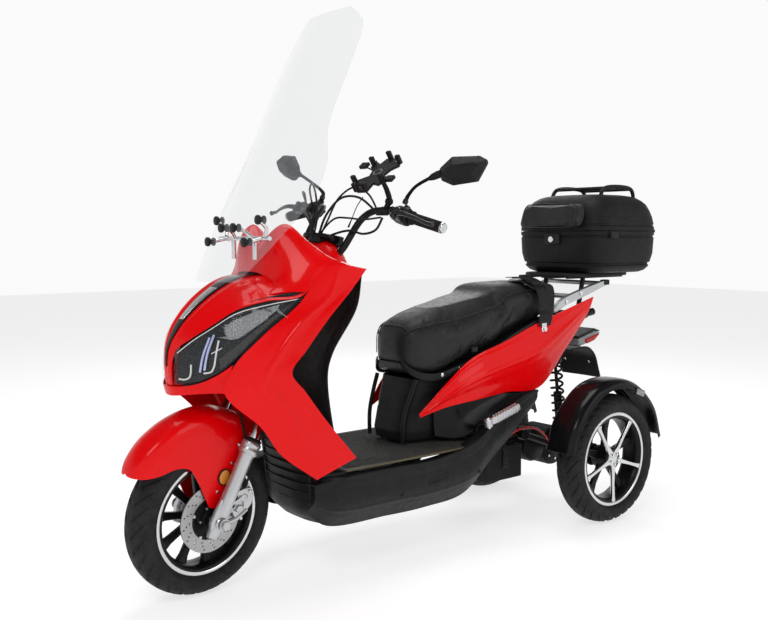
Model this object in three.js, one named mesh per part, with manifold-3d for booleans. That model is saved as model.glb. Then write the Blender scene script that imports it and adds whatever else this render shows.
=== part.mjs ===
// Three-wheeled mobility scooter: tall windscreen, red body covers, stepped seat and a top box.
// Millimetres, +Z up, the front faces -Y and the rider's left is +X.
// The nose and fairings are placed from the front axle, the tail and seat from the rear axle,
// and everything that steers is drawn straight ahead and then turned about the raked steering axis.
import * as THREE from 'three';
import { mergeVertices } from 'three/addons/utils/BufferGeometryUtils.js';
import Module from 'manifold-3d';

const wasm = await Module();
wasm.setup();

// ---------- driving dimensions ----------
const wheelbase = 1452;
const rearTrack = 606;
const bodyHalf = 245; // half the width over the side fairings
const tyreRadius = 229;
const tyreHalfWidth = 52;
const rimLipRadius = 166;
const rimHalfWidth = 42;
const rakeAngle = THREE.MathUtils.degToRad(28);
const steeringTurn = THREE.MathUtils.degToRad(7.5); // the bars rest turned to the rider's left
const forkOffset = 35; // axle ahead of the steering axis
const frontLift = 0.6; // keeps the leaning front tyre on the ground
const forkHalfSpacing = 88;
const sliderRadius = 25;
const stanchionRadius = 16.5;
const stemRadius = 15;
const barRadius = 11;
const gripLength = 118;
const gripRadius = 17;
const discRadius = 98;
const floorHeight = 340;
const floorThickness = 12;
const seatHeight = 790;
const panelThickness = 3;
const touchGap = 0.4; // between pieces that rest on each other
const runningGap = 1.2; // between pieces that move on each other
const boxWidth = 430;
const boxLength = 400;
const boxSeamHeight = 1036;

// Tyres and rims are turned in this many flats, and stand on one of them.
const wheelSides = 28;
const axleHeight = tyreRadius * Math.cos(Math.PI / wheelSides);

const frontAxleY = -wheelbase / 2;
const rearAxleY = wheelbase / 2;

// ---------- materials ----------
function finish(color, roughness, metalness = 0, opacity = 1) {
  return new THREE.MeshStandardMaterial({ color, roughness, metalness, opacity, transparent: opacity < 1 });
}
const redPaint = () => finish(0xc8000c, 0.25, 0.1);
const blackPlastic = () => finish(0x1a1a1b, 0.55);
const blackMetal = () => finish(0x141415, 0.4, 0.6);
const silverMetal = () => finish(0xc4c6c8, 0.3, 0.9);
const chrome = () => finish(0xd8dadc, 0.1, 1);
const rubber = () => finish(0x111112, 0.85);
const leather = () => finish(0x19191a, 0.6);
const clearPlastic = () => finish(0xdfe6ea, 0.08, 0, 0.3);
const lampPlastic = () => finish(0x9aa3aa, 0.1, 0.1, 0.7);

// ---------- solids ----------
function toSolid(geometry) {
  const bare = geometry.index ? geometry.toNonIndexed() : geometry.clone();
  bare.deleteAttribute('normal');
  bare.deleteAttribute('uv');
  const merged = mergeVertices(bare, 1e-3);
  const faces = [];
  for (let i = 0; i < merged.index.count; i += 3) {
    const [a, b, c] = [0, 1, 2].map((k) => merged.index.getX(i + k));
    if (a !== b && b !== c && c !== a) faces.push(a, b, c);
  }
  const vertProperties = Float32Array.from(merged.attributes.position.array);
  return new wasm.Manifold(new wasm.Mesh({ numProp: 3, vertProperties, triVerts: Uint32Array.from(faces) }));
}

function fromSolid(solid) {
  const { vertProperties, triVerts } = solid.getMesh();
  const geometry = new THREE.BufferGeometry();
  geometry.setAttribute('position', new THREE.BufferAttribute(vertProperties, 3));
  geometry.setIndex(new THREE.BufferAttribute(triVerts, 1));
  geometry.computeVertexNormals();
  return geometry;
}

const fuse = (...parts) => fromSolid(parts.map(toSolid).reduce((sum, part) => sum.add(part)));
const cut = (body, ...tools) =>
  fromSolid(tools.map(toSolid).reduce((rest, tool) => rest.subtract(tool), toSolid(body)));
const mirrorX = (geometry) => {
  const turned = geometry.index ? geometry.toNonIndexed() : geometry.clone();
  const spots = turned.attributes.position;
  for (let i = 0; i < spots.count; i += 3) {
    const swap = [spots.getX(i + 1), spots.getY(i + 1), spots.getZ(i + 1)];
    spots.setXYZ(i, -spots.getX(i), spots.getY(i), spots.getZ(i));
    spots.setXYZ(i + 1, -spots.getX(i + 2), spots.getY(i + 2), spots.getZ(i + 2));
    spots.setXYZ(i + 2, -swap[0], swap[1], swap[2]);
  }
  turned.deleteAttribute('normal');
  return turned;
};
const withMirror = (geometry) => [geometry, mirrorX(geometry)];

function block(width, length, height, x, y, z) {
  return new THREE.BoxGeometry(width, length, height).translate(x, y, z);
}

// A rod from one point to another.
function rod(from, to, radius, sides = 12) {
  const [start, end] = [new THREE.Vector3(...from), new THREE.Vector3(...to)];
  const run = end.clone().sub(start);
  const turn = new THREE.Quaternion().setFromUnitVectors(new THREE.Vector3(0, 1, 0), run.clone().normalize());
  const middle = start.add(end).multiplyScalar(0.5);
  return new THREE.CylinderGeometry(radius, radius, run.length(), sides).applyQuaternion(turn)
    .translate(middle.x, middle.y, middle.z);
}

// A round tube that follows a smooth curve through the points.
function bentRod(points, radius, steps, sides = 8) {
  const section = new THREE.Shape();
  for (let i = 0; i < sides; i++) {
    const angle = (2 * Math.PI * i) / sides;
    section[i ? 'lineTo' : 'moveTo'](radius * Math.cos(angle), radius * Math.sin(angle));
  }
  const spots = points.map((p) => new THREE.Vector3(...p));
  const extrudePath = new THREE.CatmullRomCurve3(spots, false, 'centripetal');
  return new THREE.ExtrudeGeometry(section, { extrudePath, steps });
}

// A flat plate drawn in the Y-Z plane, from x = inner to x = inner + thickness.
function sidePlate(outline, inner, thickness) {
  const shape = new THREE.Shape(outline.map(([y, z]) => new THREE.Vector2(y, z)));
  return new THREE.ExtrudeGeometry(shape, { depth: thickness, bevelEnabled: false, curveSegments: 8 })
    .applyMatrix4(new THREE.Matrix4().makeBasis(
      new THREE.Vector3(0, 1, 0), new THREE.Vector3(0, 0, 1), new THREE.Vector3(1, 0, 0)))
    .translate(inner, 0, 0);
}

// A ring turned about the X axis from a closed outline of [radius, x] points.
function turnedAboutX(outline, segments) {
  const profile = [...outline, outline[0]].map(([radius, x]) => new THREE.Vector2(radius, x));
  return new THREE.LatheGeometry(profile, segments).rotateZ(-Math.PI / 2).rotateX(Math.PI / segments);
}

// The side faces that join rings of equal length into a sleeve.
function sleeve(rings) {
  const positions = rings.flat().flatMap((p) => [p.x, p.y, p.z]);
  const faces = [];
  const across = rings[0].length;
  for (let i = 0; i < rings.length - 1; i++) {
    for (let j = 0; j < across; j++) {
      const next = (j + 1) % across;
      const [a, b, c, d] = [i * across + j, i * across + next, (i + 1) * across + next, (i + 1) * across + j];
      faces.push(a, b, c, a, c, d);
    }
  }
  return { positions, faces };
}

// A solid through a stack of rings, closed by a fan at each end.
function stack(rings) {
  const { positions, faces } = sleeve(rings);
  const across = rings[0].length;
  for (const [ring, flip] of [[0, true], [rings.length - 1, false]]) {
    const centre = rings[ring].reduce((sum, p) => sum.add(p), new THREE.Vector3()).divideScalar(across);
    const hub = positions.length / 3;
    positions.push(centre.x, centre.y, centre.z);
    for (let j = 0; j < across; j++) {
      const [a, b] = [ring * across + j, ring * across + ((j + 1) % across)];
      faces.push(...(flip ? [b, a, hub] : [a, b, hub]));
    }
  }
  return orientedOut(positions, faces);
}

function orientedOut(positions, faces) {
  let volume = 0;
  const at = (i) => new THREE.Vector3(...positions.slice(3 * i, 3 * i + 3));
  for (let i = 0; i < faces.length; i += 3) {
    volume += at(faces[i]).dot(at(faces[i + 1]).cross(at(faces[i + 2])));
  }
  if (volume < 0) faces.reverse();
  const geometry = new THREE.BufferGeometry();
  geometry.setAttribute('position', new THREE.Float32BufferAttribute(positions, 3));
  geometry.setIndex(faces);
  return geometry;
}

const smooth = (points, count) =>
  new THREE.CatmullRomCurve3(points, false, 'centripetal').getPoints(count);

// A smooth grid of points through rows of control points.
function fineGrid(rows, along, across) {
  const smoothRows = rows.map((row) => smooth(row.map((p) => new THREE.Vector3(...p)), across));
  const columns = smoothRows[0].map((_, j) => smooth(smoothRows.map((row) => row[j]), along));
  return columns[0].map((_, i) => columns.map((column) => column[i]));
}

// A moulded panel: the smooth surface through the rows, given a thickness on its back.
// side is +1 where the back lies against the grid's own normal, -1 where it lies along it.
function panel(rows, along, across, side = 1, thickness = panelThickness) {
  const grid = fineGrid(rows, along, across);
  const [last, end] = [grid.length - 1, grid[0].length - 1];
  const back = grid.map((row, i) => row.map((p, j) => {
    const down = grid[Math.min(i + 1, last)][j].clone().sub(grid[Math.max(i - 1, 0)][j]);
    const right = grid[i][Math.min(j + 1, end)].clone().sub(grid[i][Math.max(j - 1, 0)]);
    return p.clone().addScaledVector(down.cross(right).normalize(), -side * thickness);
  }));
  const rings = grid.map((row, i) => [...row, ...back[i].slice().reverse()]);
  const { positions, faces } = sleeve(rings);
  const width = rings[0].length;
  for (const [ring, flip] of [[0, true], [last, false]]) {
    for (let j = 0; j < end; j++) {
      const quad = [j, j + 1, width - 2 - j, width - 1 - j].map((k) => ring * width + k);
      const [a, b, c, d] = flip ? quad.reverse() : quad;
      faces.push(a, b, c, a, c, d);
    }
  }
  return orientedOut(positions, faces);
}

// A rounded rectangle ring in the plane of the two given axes.
function roundedRing(centre, halfA, halfB, axisA, axisB, count = 24, power = 4) {
  return Array.from({ length: count }, (_, i) => {
    const angle = (2 * Math.PI * (i + 0.5)) / count;
    const reach = (value, half) => half * Math.sign(value) * Math.abs(value) ** (2 / power);
    return new THREE.Vector3(...centre)
      .addScaledVector(axisA, reach(Math.cos(angle), halfA))
      .addScaledVector(axisB, reach(Math.sin(angle), halfB));
  });
}

const X = new THREE.Vector3(1, 0, 0);
const Y = new THREE.Vector3(0, 1, 0);
const Z = new THREE.Vector3(0, 0, 1);

// Points given from the front axle, from the rear axle, and across the body as a part of its half width.
const front = (x, y, z) => [x, frontAxleY + y, z];
const rear = (x, y, z) => [x, rearAxleY + y, z];
const wide = (share) => share * bodyHalf;

// ---------- the assembly ----------
const scooter = new THREE.Group();
function place(name, geometry, material, parent = scooter) {
  const mesh = new THREE.Mesh(geometry, material);
  mesh.name = name;
  parent.add(mesh);
  return mesh;
}

// Two nested groups turn the straight-ahead front end about the raked steering axis:
// inside straightAhead, the origin is the front axle's middle and the axes are the scooter's own.
const axisFoot = new THREE.Vector3(0, frontAxleY, axleHeight + frontLift)
  .add(new THREE.Vector3(0, Math.cos(rakeAngle), -Math.sin(rakeAngle)).multiplyScalar(forkOffset));
const steering = new THREE.Group();
steering.position.copy(axisFoot);
steering.rotation.x = -rakeAngle;
const turned = new THREE.Group();
turned.rotation.z = steeringTurn;
const straightAhead = new THREE.Group();
straightAhead.rotation.x = rakeAngle;
straightAhead.position.set(0, -forkOffset, 0);
scooter.add(steering.add(turned.add(straightAhead)));

// ---------- wheels ----------
function tyreSolid() {
  const seat = rimLipRadius - 14;
  const inner = rimHalfWidth - 4 - touchGap;
  const sideWall = tyreRadius - rimLipRadius;
  const [widest, shoulder] = [rimLipRadius + (26 / 63) * sideWall, tyreRadius - (16 / 63) * sideWall];
  return turnedAboutX([
    [seat + touchGap, -inner], [rimLipRadius + 2, -inner], [widest, -tyreHalfWidth],
    [shoulder, -tyreHalfWidth + 4], [tyreRadius, -14], [tyreRadius, 14],
    [shoulder, tyreHalfWidth - 4], [widest, tyreHalfWidth], [rimLipRadius + 2, inner],
    [seat + touchGap, inner],
  ], wheelSides);
}

function rimSolid(spokes, hubRadius, hubHalf, bore) {
  const seat = rimLipRadius - 14;
  const barrel = turnedAboutX([
    [rimLipRadius, -rimHalfWidth], [rimLipRadius, -rimHalfWidth + 4], [seat, -rimHalfWidth + 4],
    [seat, rimHalfWidth - 4], [rimLipRadius, rimHalfWidth - 4], [rimLipRadius, rimHalfWidth],
    [seat - 5, rimHalfWidth], [seat - 5, -rimHalfWidth],
  ], wheelSides);
  const hub = turnedAboutX(
    [[bore, -hubHalf], [hubRadius, -hubHalf], [hubRadius, hubHalf], [bore, hubHalf]], 16);
  const arms = Array.from({ length: spokes }, (_, i) =>
    block(16, 24, seat - hubRadius + 1, 0, 0, (seat + hubRadius - 5) / 2).rotateX((2 * Math.PI * i) / spokes));
  return fuse(barrel, hub, ...arms);
}

const axleRadius = 8;
function frontWheel() {
  const hubHalf = 34;
  place('front_tyre', tyreSolid(), rubber(), straightAhead);
  place('front_rim', rimSolid(10, 30, hubHalf, axleRadius + runningGap), blackMetal(), straightAhead);
  const discInner = hubHalf + 14;
  const disc = turnedAboutX([[32, discInner], [discRadius, discInner], [discRadius, discInner + 4],
    [32, discInner + 4]], wheelSides);
  const carrier = turnedAboutX([[axleRadius + runningGap, hubHalf + touchGap], [26, hubHalf + touchGap],
    [44, discInner - 2], [44, discInner + 6], [26, discInner + 6],
    [axleRadius + runningGap, hubHalf + 8]], 16);
  place('brake_disc', fuse(disc, carrier), silverMetal(), straightAhead);
  const reach = forkHalfSpacing + sliderRadius + 6;
  place('front_axle', fuse(rod([-reach, 0, 0], [reach, 0, 0], axleRadius),
    rod([reach - 4, 0, 0], [reach + 6, 0, 0], 14, 6)), silverMetal(), straightAhead);
}

// ---------- fork, seen straight ahead: local z runs up the fork legs ----------
const sliderTop = 240;
const yokeHeight = 392;
const yokeThickness = 26;
const stemTop = 812;

function forkLeg(side) {
  const x = side * forkHalfSpacing;
  const y = -forkOffset;
  const body = new THREE.CylinderGeometry(sliderRadius, sliderRadius, sliderTop + 34, 16).rotateX(Math.PI / 2)
    .translate(x, y, (sliderTop - 34) / 2);
  const collar = new THREE.CylinderGeometry(sliderRadius + 5, sliderRadius + 5, 22, 16).rotateX(Math.PI / 2)
    .translate(x, y, sliderTop - 11);
  const bore = new THREE.CylinderGeometry(stanchionRadius + runningGap, stanchionRadius + runningGap, 230, 16)
    .rotateX(Math.PI / 2).translate(x, y, sliderTop - 114);
  const axleHole = rod([x - 40, y, 0], [x + 40, y, 0], axleRadius + touchGap);
  const bracket = side > 0
    ? [sidePlate([[y + 4, -14], [y + 70, 30], [y + 92, 92], [y + 60, 116], [y + 4, 92]], x - 16, 9)]
    : [];
  return cut(fuse(body, collar, ...bracket), bore, axleHole);
}

function fork() {
  const plate = block(2 * forkHalfSpacing + 56, 96, yokeThickness, 0, -forkOffset + 22, yokeHeight);
  const stem = rod([0, 0, yokeHeight], [0, 0, stemTop], stemRadius, 14);
  const clampBlock = block(64, 46, 34, 0, 0, stemTop + 4);
  const legs = [-1, 1].map((side) => rod([side * forkHalfSpacing, -forkOffset, 112],
    [side * forkHalfSpacing, -forkOffset, yokeHeight + 18], stanchionRadius, 16));
  const barSaddle = bentRod(barPoints, barRadius + touchGap, barSteps, barSides);
  place('fork_yoke', cut(fuse(plate, stem, clampBlock, ...legs), barSaddle), chrome(), turned);
  place('fork_slider_left', forkLeg(1), silverMetal(), turned);
  place('fork_slider_right', forkLeg(-1), silverMetal(), turned);
}

function brakeCaliper() {
  const [inner, outer] = [40, 66];
  const centre = [0.5 * (inner + outer), 84, 36];
  const body = block(outer - inner, 44, 70, ...centre);
  const slot = turnedAboutX([[10, 46], [discRadius + 3, 46], [discRadius + 3, 54], [10, 54]], 36);
  place('brake_caliper', cut(body, slot), silverMetal(), straightAhead);
}

// The fender and the mudguards are drawn about this tyre, and move in or out with another one.
const drawnTyre = 229;
const tyreGrowth = tyreRadius - drawnTyre;
const aroundTyre = ([x, y, z]) => {
  const reach = Math.hypot(y, z);
  const share = Math.min(1, reach / (0.65 * drawnTyre)); // what lies near the axle moves less
  const growth = 1 + (share * tyreGrowth) / reach;
  return [x, y * growth, z * growth];
};

// The fender is drawn from the front axle's middle.
function frontFender() {
  const half = 60;
  const row = (y, top, sideY, low, width) => [[width, sideY, low], [width * 0.86, y, top - 26], [0, y, top],
    [-width * 0.86, y, top - 26], [-width, sideY, low]].map(aroundTyre);
  const arch = panel([
    row(-238, 178, -232, 154, 40), row(-198, 232, -184, 154, 56), row(-126, 282, -116, 158, half),
    row(-50, 312, -60, 158, half), row(30, 314, 10, 140, half), row(104, 286, 70, 132, half),
  ], 10, 8, 1);
  const spear = [[-58, 168], [-30, 120], [-16, 34], [34, 38], [62, 92], [84, 124], [70, 160]]
    .map(([y, z]) => aroundTyre([0, y, z]).slice(1));
  place('front_fender', fuse(arch, ...withMirror(sidePlate(spear, half - panelThickness, panelThickness + 1))),
    redPaint(), straightAhead);
}

// ---------- handlebar and controls: x across, y back, z up the steering axis ----------
const gripInner = [226, 74, 1030];
const gripOuter = [356, 94, 1011];
const barSteps = 28;
const barSides = 8;
const barPoints = [[-gripOuter[0], gripOuter[1], gripOuter[2]], [-gripInner[0], gripInner[1], gripInner[2]],
  [-165, 62, 1038], [-122, 26, 1020], [-104, 6, 980], [-86, -4, 868], [-52, 0, stemTop + 20],
  [0, 0, stemTop + 18],
  [52, 0, stemTop + 20], [86, -4, 868], [104, 6, 980], [122, 26, 1020], [165, 62, 1038],
  gripInner, gripOuter];

// A group at the grip's inner end whose z runs out along the bar.
function barEnd(side) {
  const start = new THREE.Vector3(side * gripInner[0], gripInner[1], gripInner[2]);
  const end = new THREE.Vector3(side * gripOuter[0], gripOuter[1], gripOuter[2]);
  const group = new THREE.Group();
  group.position.copy(start);
  group.quaternion.setFromUnitVectors(Z, end.sub(start).normalize());
  turned.add(group);
  return group;
}

function sleeveAlongZ(outer, inner, from, to, sides = 16) {
  return new THREE.LatheGeometry([[inner, from], [outer, from], [outer, to], [inner, to], [inner, from]]
    .map(([r, z]) => new THREE.Vector2(r, z)), sides).rotateX(Math.PI / 2);
}

function handlebar() {
  const clamp = rod([134, 32, 1024], [158, 52, 1036], barRadius + 6, 10);
  const holderArm = bentRod([[146, 42, 1034], [150, 40, 1062], [140, 10, 1092], [132, -8, 1102]], 7, 8, 6);
  place('handlebar', fuse(bentRod(barPoints, barRadius - touchGap, barSteps, barSides), clamp, holderArm),
    blackMetal(), turned);
  for (const [side, hand] of [[1, 'left'], [-1, 'right']]) {
    const end = barEnd(side);
    const inner = barRadius + runningGap;
    const name = side > 0 ? 'grip_left' : 'throttle_grip';
    place(name, sleeveAlongZ(gripRadius, inner, 8, gripLength + 4), rubber(), end);
    const down = side; // local x points down on the left bar and up on the right one
    const housing = fuse(sleeveAlongZ(24, inner, -50, 4), block(34, 40, 46, down * 14, -30, -24));
    const lever = block(22, 26, 26, down * 30, -58, -14);
    const mirrorBoss = block(24, 22, 30, down * -28, 0, -30);
    place('switch_housing_' + hand, cut(fuse(housing, lever, mirrorBoss), sleeveHole(inner), leverSlot(side)),
      blackPlastic(), end);
    place('brake_lever_' + hand, brakeLever(side), blackMetal(), end);
  }
}

const sleeveHole = (radius) => new THREE.CylinderGeometry(radius, radius, 300, 16).rotateX(Math.PI / 2);

// The lever turns on a pin in the slot of its perch and its blade runs ahead of the grip.
const leverPivot = [30, -58, -8]; // down, back and out along the bar
const leverThickness = 8;
const leverSlot = (side) => block(leverThickness + 2 * runningGap, 40, 34, side * leverPivot[0], leverPivot[1],
  leverPivot[2] + 6);
function brakeLever(side) {
  const x = side * leverPivot[0];
  const blade = bentRod([[x, -60, 4], [x, -70, 30], [x, -66, 74], [x, -58, 112], [x, -60, 136]], 5, 12, 6);
  const eye = block(leverThickness, 16, 22, x, leverPivot[1], leverPivot[2] + 4);
  return fuse(blade, eye);
}

function mirrors() {
  for (const [side, hand] of [[1, 'left'], [-1, 'right']]) {
    const root = [side * 190, 66, 1080];
    const stalk = bentRod([[root[0], root[1], root[2] + 2], [side * 198, 58, 1094], [side * 234, 38, 1116],
      [side * 318, 22, 1148], [side * 352, 32, 1166]], 6, 12, 6);
    const [lean, back] = [new THREE.Vector3(side * 0.94, 0.24, 0.24).normalize(),
      new THREE.Vector3(0, -0.55, 0.83).normalize()];
    const ringAt = (share, halfUp, depth) => {
      const centre = new THREE.Vector3(side * 318, 24, 1158).addScaledVector(lean, share * 152);
      const facing = lean.clone().cross(back).normalize().multiplyScalar(side);
      return Array.from({ length: 10 }, (_, i) => {
        const angle = (2 * Math.PI * (i + 0.5)) / 10;
        return centre.clone().addScaledVector(back, halfUp * Math.cos(angle))
          .addScaledVector(facing, depth * Math.min(Math.sin(angle), 0.25));
      });
    };
    const head = stack([ringAt(0, 12, 12), ringAt(0.16, 34, 26), ringAt(0.5, 44, 34),
      ringAt(0.86, 40, 28), ringAt(1, 26, 14)]);
    place('mirror_' + hand, fuse(stalk, head), blackPlastic(), turned);
  }
}

// A spring-jaw phone holder in front of the left grip.
function phoneCradle() {
  const back = block(64, 8, 84, 0, 0, 0);
  const jaw = (side) => fuse(block(26, 14, 12, side * 36, -6, 24), block(8, 24, 26, side * 50, -12, 24));
  const foot = block(44, 26, 8, 0, -10, -44);
  const ball = block(18, 10, 18, 0, 7, 0);
  const cradle = fuse(back, jaw(1), jaw(-1), foot, ball).rotateX(-0.45).translate(128, -24, 1118);
  place('phone_cradle', cradle, blackPlastic(), turned);
}

function hornButton() {
  place('horn_button', rod([6, 24 + 2 * runningGap, -24], [6, 36, -24], 7, 10), rubber(), barEnd(1));
}

// Cables from both switch housings, gathered by a clip above the stem.
function controlCables() {
  const clip = block(40, 12, 18, 0, -44, 880);
  const cable = (side, offset) => bentRod([[side * (168 - offset), 26, 1004 + offset],
    [side * 128, -30 - offset, 994 + offset], [side * 92, -66 - offset, 958 + offset],
    [side * 50, -70, 910], [side * 14, -46, 884], [side * 10, -42, 860]], 3.2, 8, 5);
  place('control_cables', fuse(clip, cable(1, 0), cable(1, 12), cable(-1, 0)), rubber(), turned);
}

// ---------- front body covers ----------
// The edge that nose, headlight and fairing share, from the nose to the headlight's rear tip.
const lensUpper = [[wide(0.15), -82, 702], [wide(0.31), -54, 738], [wide(0.47), -10, 775],
  [wide(0.61), 46, 816], [wide(0.73), 126, 838], [wide(0.83), 222, 850]];
const lensLower = [[wide(0.13), -86, 606], [wide(0.39), -52, 618], [wide(0.61), -13, 647],
  [wide(0.7), 16, 674], [wide(0.775), 100, 775], [wide(0.822), 208, 836]];
const seamGap = 4;

const fromFrontAxle = (rows) => rows.map((row) => row.map(([x, y, z]) => front(x, y, z)));

function headlights() {
  const rows = lensUpper.map((upper, i) => {
    const lower = lensLower[i];
    const middle = upper.map((value, k) => 0.5 * (value + lower[k]));
    return [[upper[0], upper[1], upper[2] - seamGap], [middle[0] + 5, middle[1] - 5, middle[2]],
      [lower[0], lower[1], lower[2] + seamGap]];
  });
  const lens = panel(fromFrontAxle(rows), 10, 4, 1, 5);
  place('headlight_left', lens, lampPlastic());
  place('headlight_right', mirrorX(lens), lampPlastic());
}

function noseCover() {
  const crowns = [[0, -88, 712], [0, -62, 762], [0, -18, 812], [0, 40, 858], [0, 112, 896], [0, 226, 916]];
  const half = lensUpper.map(([x, y, z], i) => {
    const crown = crowns[i];
    const shoulder = [0.55 * x, crown[1] + 0.25 * (y - crown[1]), z + 0.8 * (crown[2] - z)];
    const otherShoulder = [-shoulder[0], shoulder[1], shoulder[2]];
    return [[x, y, z + seamGap], shoulder, crown, otherShoulder, [-x, y, z + seamGap]];
  });
  const acrossAt = (share, y, z, rise) => [[wide(share), y, z], [wide(share * 0.5), y - rise, z + rise],
    [0, y - rise, z + rise], [-wide(share * 0.5), y - rise, z + rise], [-wide(share), y, z]];
  const top = panel(fromFrontAxle([acrossAt(0.08, -84, 588, 2), acrossAt(0.1, -90, 660, 3), ...half,
    acrossAt(0.8, 286, 932, 6)]), 12, 8, 1);
  const lip = [[wide(0.1), -88, 608], ...lensLower.slice(0, 3)].map(([x, y, z]) => [x, y, z - 1]);
  const chinTop = [...lip.slice().reverse(), [0, -90, 612], ...lip.map(([x, y, z]) => [-x, y, z])];
  const chinLow = chinTop.map(([x, y, z]) => [x, y + 8, z - (Math.abs(x) > wide(0.5) ? 16 : 24)]);
  place('nose_cover', fuse(top, panel(fromFrontAxle([chinTop, chinLow]), 1, 14, 1, 4)), redPaint());
}

// The lip under the headlights belongs to the side fairings.
function sideFairings() {
  const rows = [
    [[wide(0.88), 259, 326], [wide(0.9), 326, 349], [wide(0.92), 393, 372]],
    [[wide(0.85), 144, 415], [wide(0.9), 210, 452], [wide(0.93), 290, 490]],
    [[wide(0.82), 90, 493], [wide(0.9), 150, 540], [wide(0.94), 214, 585]],
    [[wide(0.72), -10, 598], [wide(0.86), 80, 622], [wide(0.96), 167, 644]],
    [[wide(0.72), 18, 666], [wide(0.88), 120, 690], [wide(0.97), 215, 705]],
    [[wide(0.79), 106, 767], [wide(0.9), 205, 780], [wide(0.98), 290, 790]],
    [[wide(0.86), 238, 842], [wide(0.93), 300, 850], [wide(0.99), 356, 856]],
    [[wide(0.82), 296, 942], [wide(0.93), 350, 936], [wide(1), 417, 923]],
  ];
  const side = panel(fromFrontAxle(rows), 14, 5, -1);
  place('side_fairing_left', side, redPaint());
  place('side_fairing_right', mirrorX(side), redPaint());
}

function dashCover() {
  const row = (y, [edge, edgeZ], [hump, humpZ], middleZ) => [[wide(edge), y, edgeZ],
    [wide(hump), y - 6, humpZ], [0, y - 10, middleZ], [-wide(hump), y - 6, humpZ], [-wide(edge), y, edgeZ]];
  const deck = panel(fromFrontAxle([
    row(180, [0.45, 908], [0.3, 930], 930), row(206, [0.6, 918], [0.45, 1035], 985),
    row(250, [0.72, 940], [0.5, 1058], 990), row(300, [0.8, 953], [0.52, 1010], 975),
    row(340, [0.81, 948], [0.5, 965], 960), row(408, [0.82, 928], [0.5, 946], 944)]), 10, 10, 1);
  const opening = new THREE.CylinderGeometry(132, 132, 400, 28).rotateX(Math.PI / 2 - rakeAngle)
    .translate(...onAxis(850));
  place('dash_cover', cut(deck, opening), redPaint());
}

function legShield() {
  const row = (y, z, bulge, share) => [[wide(share), y, z], [wide(0.5), y + bulge * 0.7, z], [0, y + bulge, z],
    [-wide(0.5), y + bulge * 0.7, z], [-wide(share), y, z]];
  const shield = panel(fromFrontAxle([row(418, 904, 34, 0.88), row(396, 812, 40, 0.9), row(312, 690, 60, 0.9),
    row(294, 630, 66, 0.89), row(312, 480, 48, 0.88), row(352, floorHeight + 8, 20, 0.86)]), 10, 8, 1, 4);
  place('leg_shield', shield, blackPlastic());
}

function frontGrille() {
  const row = (y, z, share) => [[wide(share), y + 26, z], [wide(share * 0.5), y + 4, z], [0, y, z],
    [-wide(share * 0.5), y + 4, z], [-wide(share), y + 26, z]];
  const plate = panel(fromFrontAxle([row(262, 470, 0.66), row(274, 400, 0.66), row(286, 300, 0.64),
    row(292, 200, 0.6), row(330, 156, 0.56)]), 6, 6, 1, 5);
  const fins = [0, 1, 2].map((i) => block(150, 16, 8, 0, frontAxleY + 278 + 4 * i, 390 - 38 * i));
  place('front_grille', fuse(plate, ...fins), blackPlastic());
}

// Control rows run front to back; each row goes from the floor's edge down and in.
function bellyPanels() {
  const row = (from, y, top, foot, topShare = 0.9, footShare = 0.6) => [
    from(wide(topShare), y, top), from(wide(topShare - 0.02), y + 4, top - 0.5 * (top - foot)),
    from(wide(footShare), y + 8, foot)];
  const side = panel([
    row(front, 262, 306, 210, 0.82, 0.58), row(front, 330, 318, 160, 0.9), row(front, 560, 318, 146, 0.9),
    row(rear, -726, 318, 144, 0.9), row(rear, -560, 352, 160, 0.9), row(rear, -440, 420, 250, 0.82, 0.62),
    row(rear, -300, 466, 350, 0.74, 0.6), row(rear, -200, 474, 416, 0.64, 0.54)], 14, 4, -1, 4);
  place('belly_panel_left', side, blackPlastic());
  place('belly_panel_right', mirrorX(side), blackPlastic());
}

function floorboard() {
  const edge = wide(0.85);
  const outline = [front(0, 360, 0), rear(0, -540, 0)].map(([, y]) => y);
  const tray = block(2 * edge, outline[1] - outline[0], floorThickness, 0, 0.5 * (outline[0] + outline[1]),
    floorHeight - floorThickness / 2);
  place('floorboard', tray, rubber());
}

function windscreen() {
  const row = (y, z, half, sweep) => [[half, y + sweep, z], [half * 0.55, y + sweep * 0.32, z], [0, y, z],
    [-half * 0.55, y + sweep * 0.32, z], [-half, y + sweep, z]];
  const screen = panel(fromFrontAxle([row(26, 890, 122, 38), row(84, 1000, 188, 62), row(144, 1120, 236, 92),
    row(194, 1215, 232, 92), row(256, 1330, 196, 64), row(364, 1530, 190, 46), row(430, 1640, 170, 32),
    row(456, 1694, 112, 10)]), 14, 8, 1, 4);
  place('windscreen', screen, clearPlastic());
}

function windscreenBracket() {
  const bar = rod([-120, frontAxleY + 158, 1010], [120, frontAxleY + 158, 1010], 7, 8);
  const arms = [-1, 1].flatMap((side) => [
    rod([side * 100, frontAxleY + 158, 1010], [side * 100, frontAxleY + 132, 1010], 6, 8),
    rod([side * 60, frontAxleY + 158, 1010], [side * 60, frontAxleY + 158, 948], 8, 8),
  ]);
  place('windscreen_bracket', fuse(bar, ...arms), blackPlastic());
}

function ignitionKey() {
  const stem = rod(front(64, 447, 850), front(64, 462, 852), 5, 8);
  const bow = block(7, 24, 30, 64, frontAxleY + 468, 852);
  place('ignition_key', fuse(stem, bow), blackMetal());
}

// ---------- frame, battery and seat box ----------
const tubeRadius = 14;
const railInset = 80.5; // from the floor's edge in to the middle of a frame rail
const railX = wide(0.9) - railInset;
const railClearance = 16; // between a rail and what the frame carries between its rails
const headTube = [430, 650]; // lower and upper end, measured up the steering axis
const swingPivot = [-196, 300]; // behind and above, from the rear axle and the ground
const pegX = wide(0.9) + 5.5;
const pegHeight = 404;

function onAxis(height, forward = 0) {
  return [0, axisFoot.y + height * Math.sin(rakeAngle) + forward, axisFoot.z + height * Math.cos(rakeAngle)];
}

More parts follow.
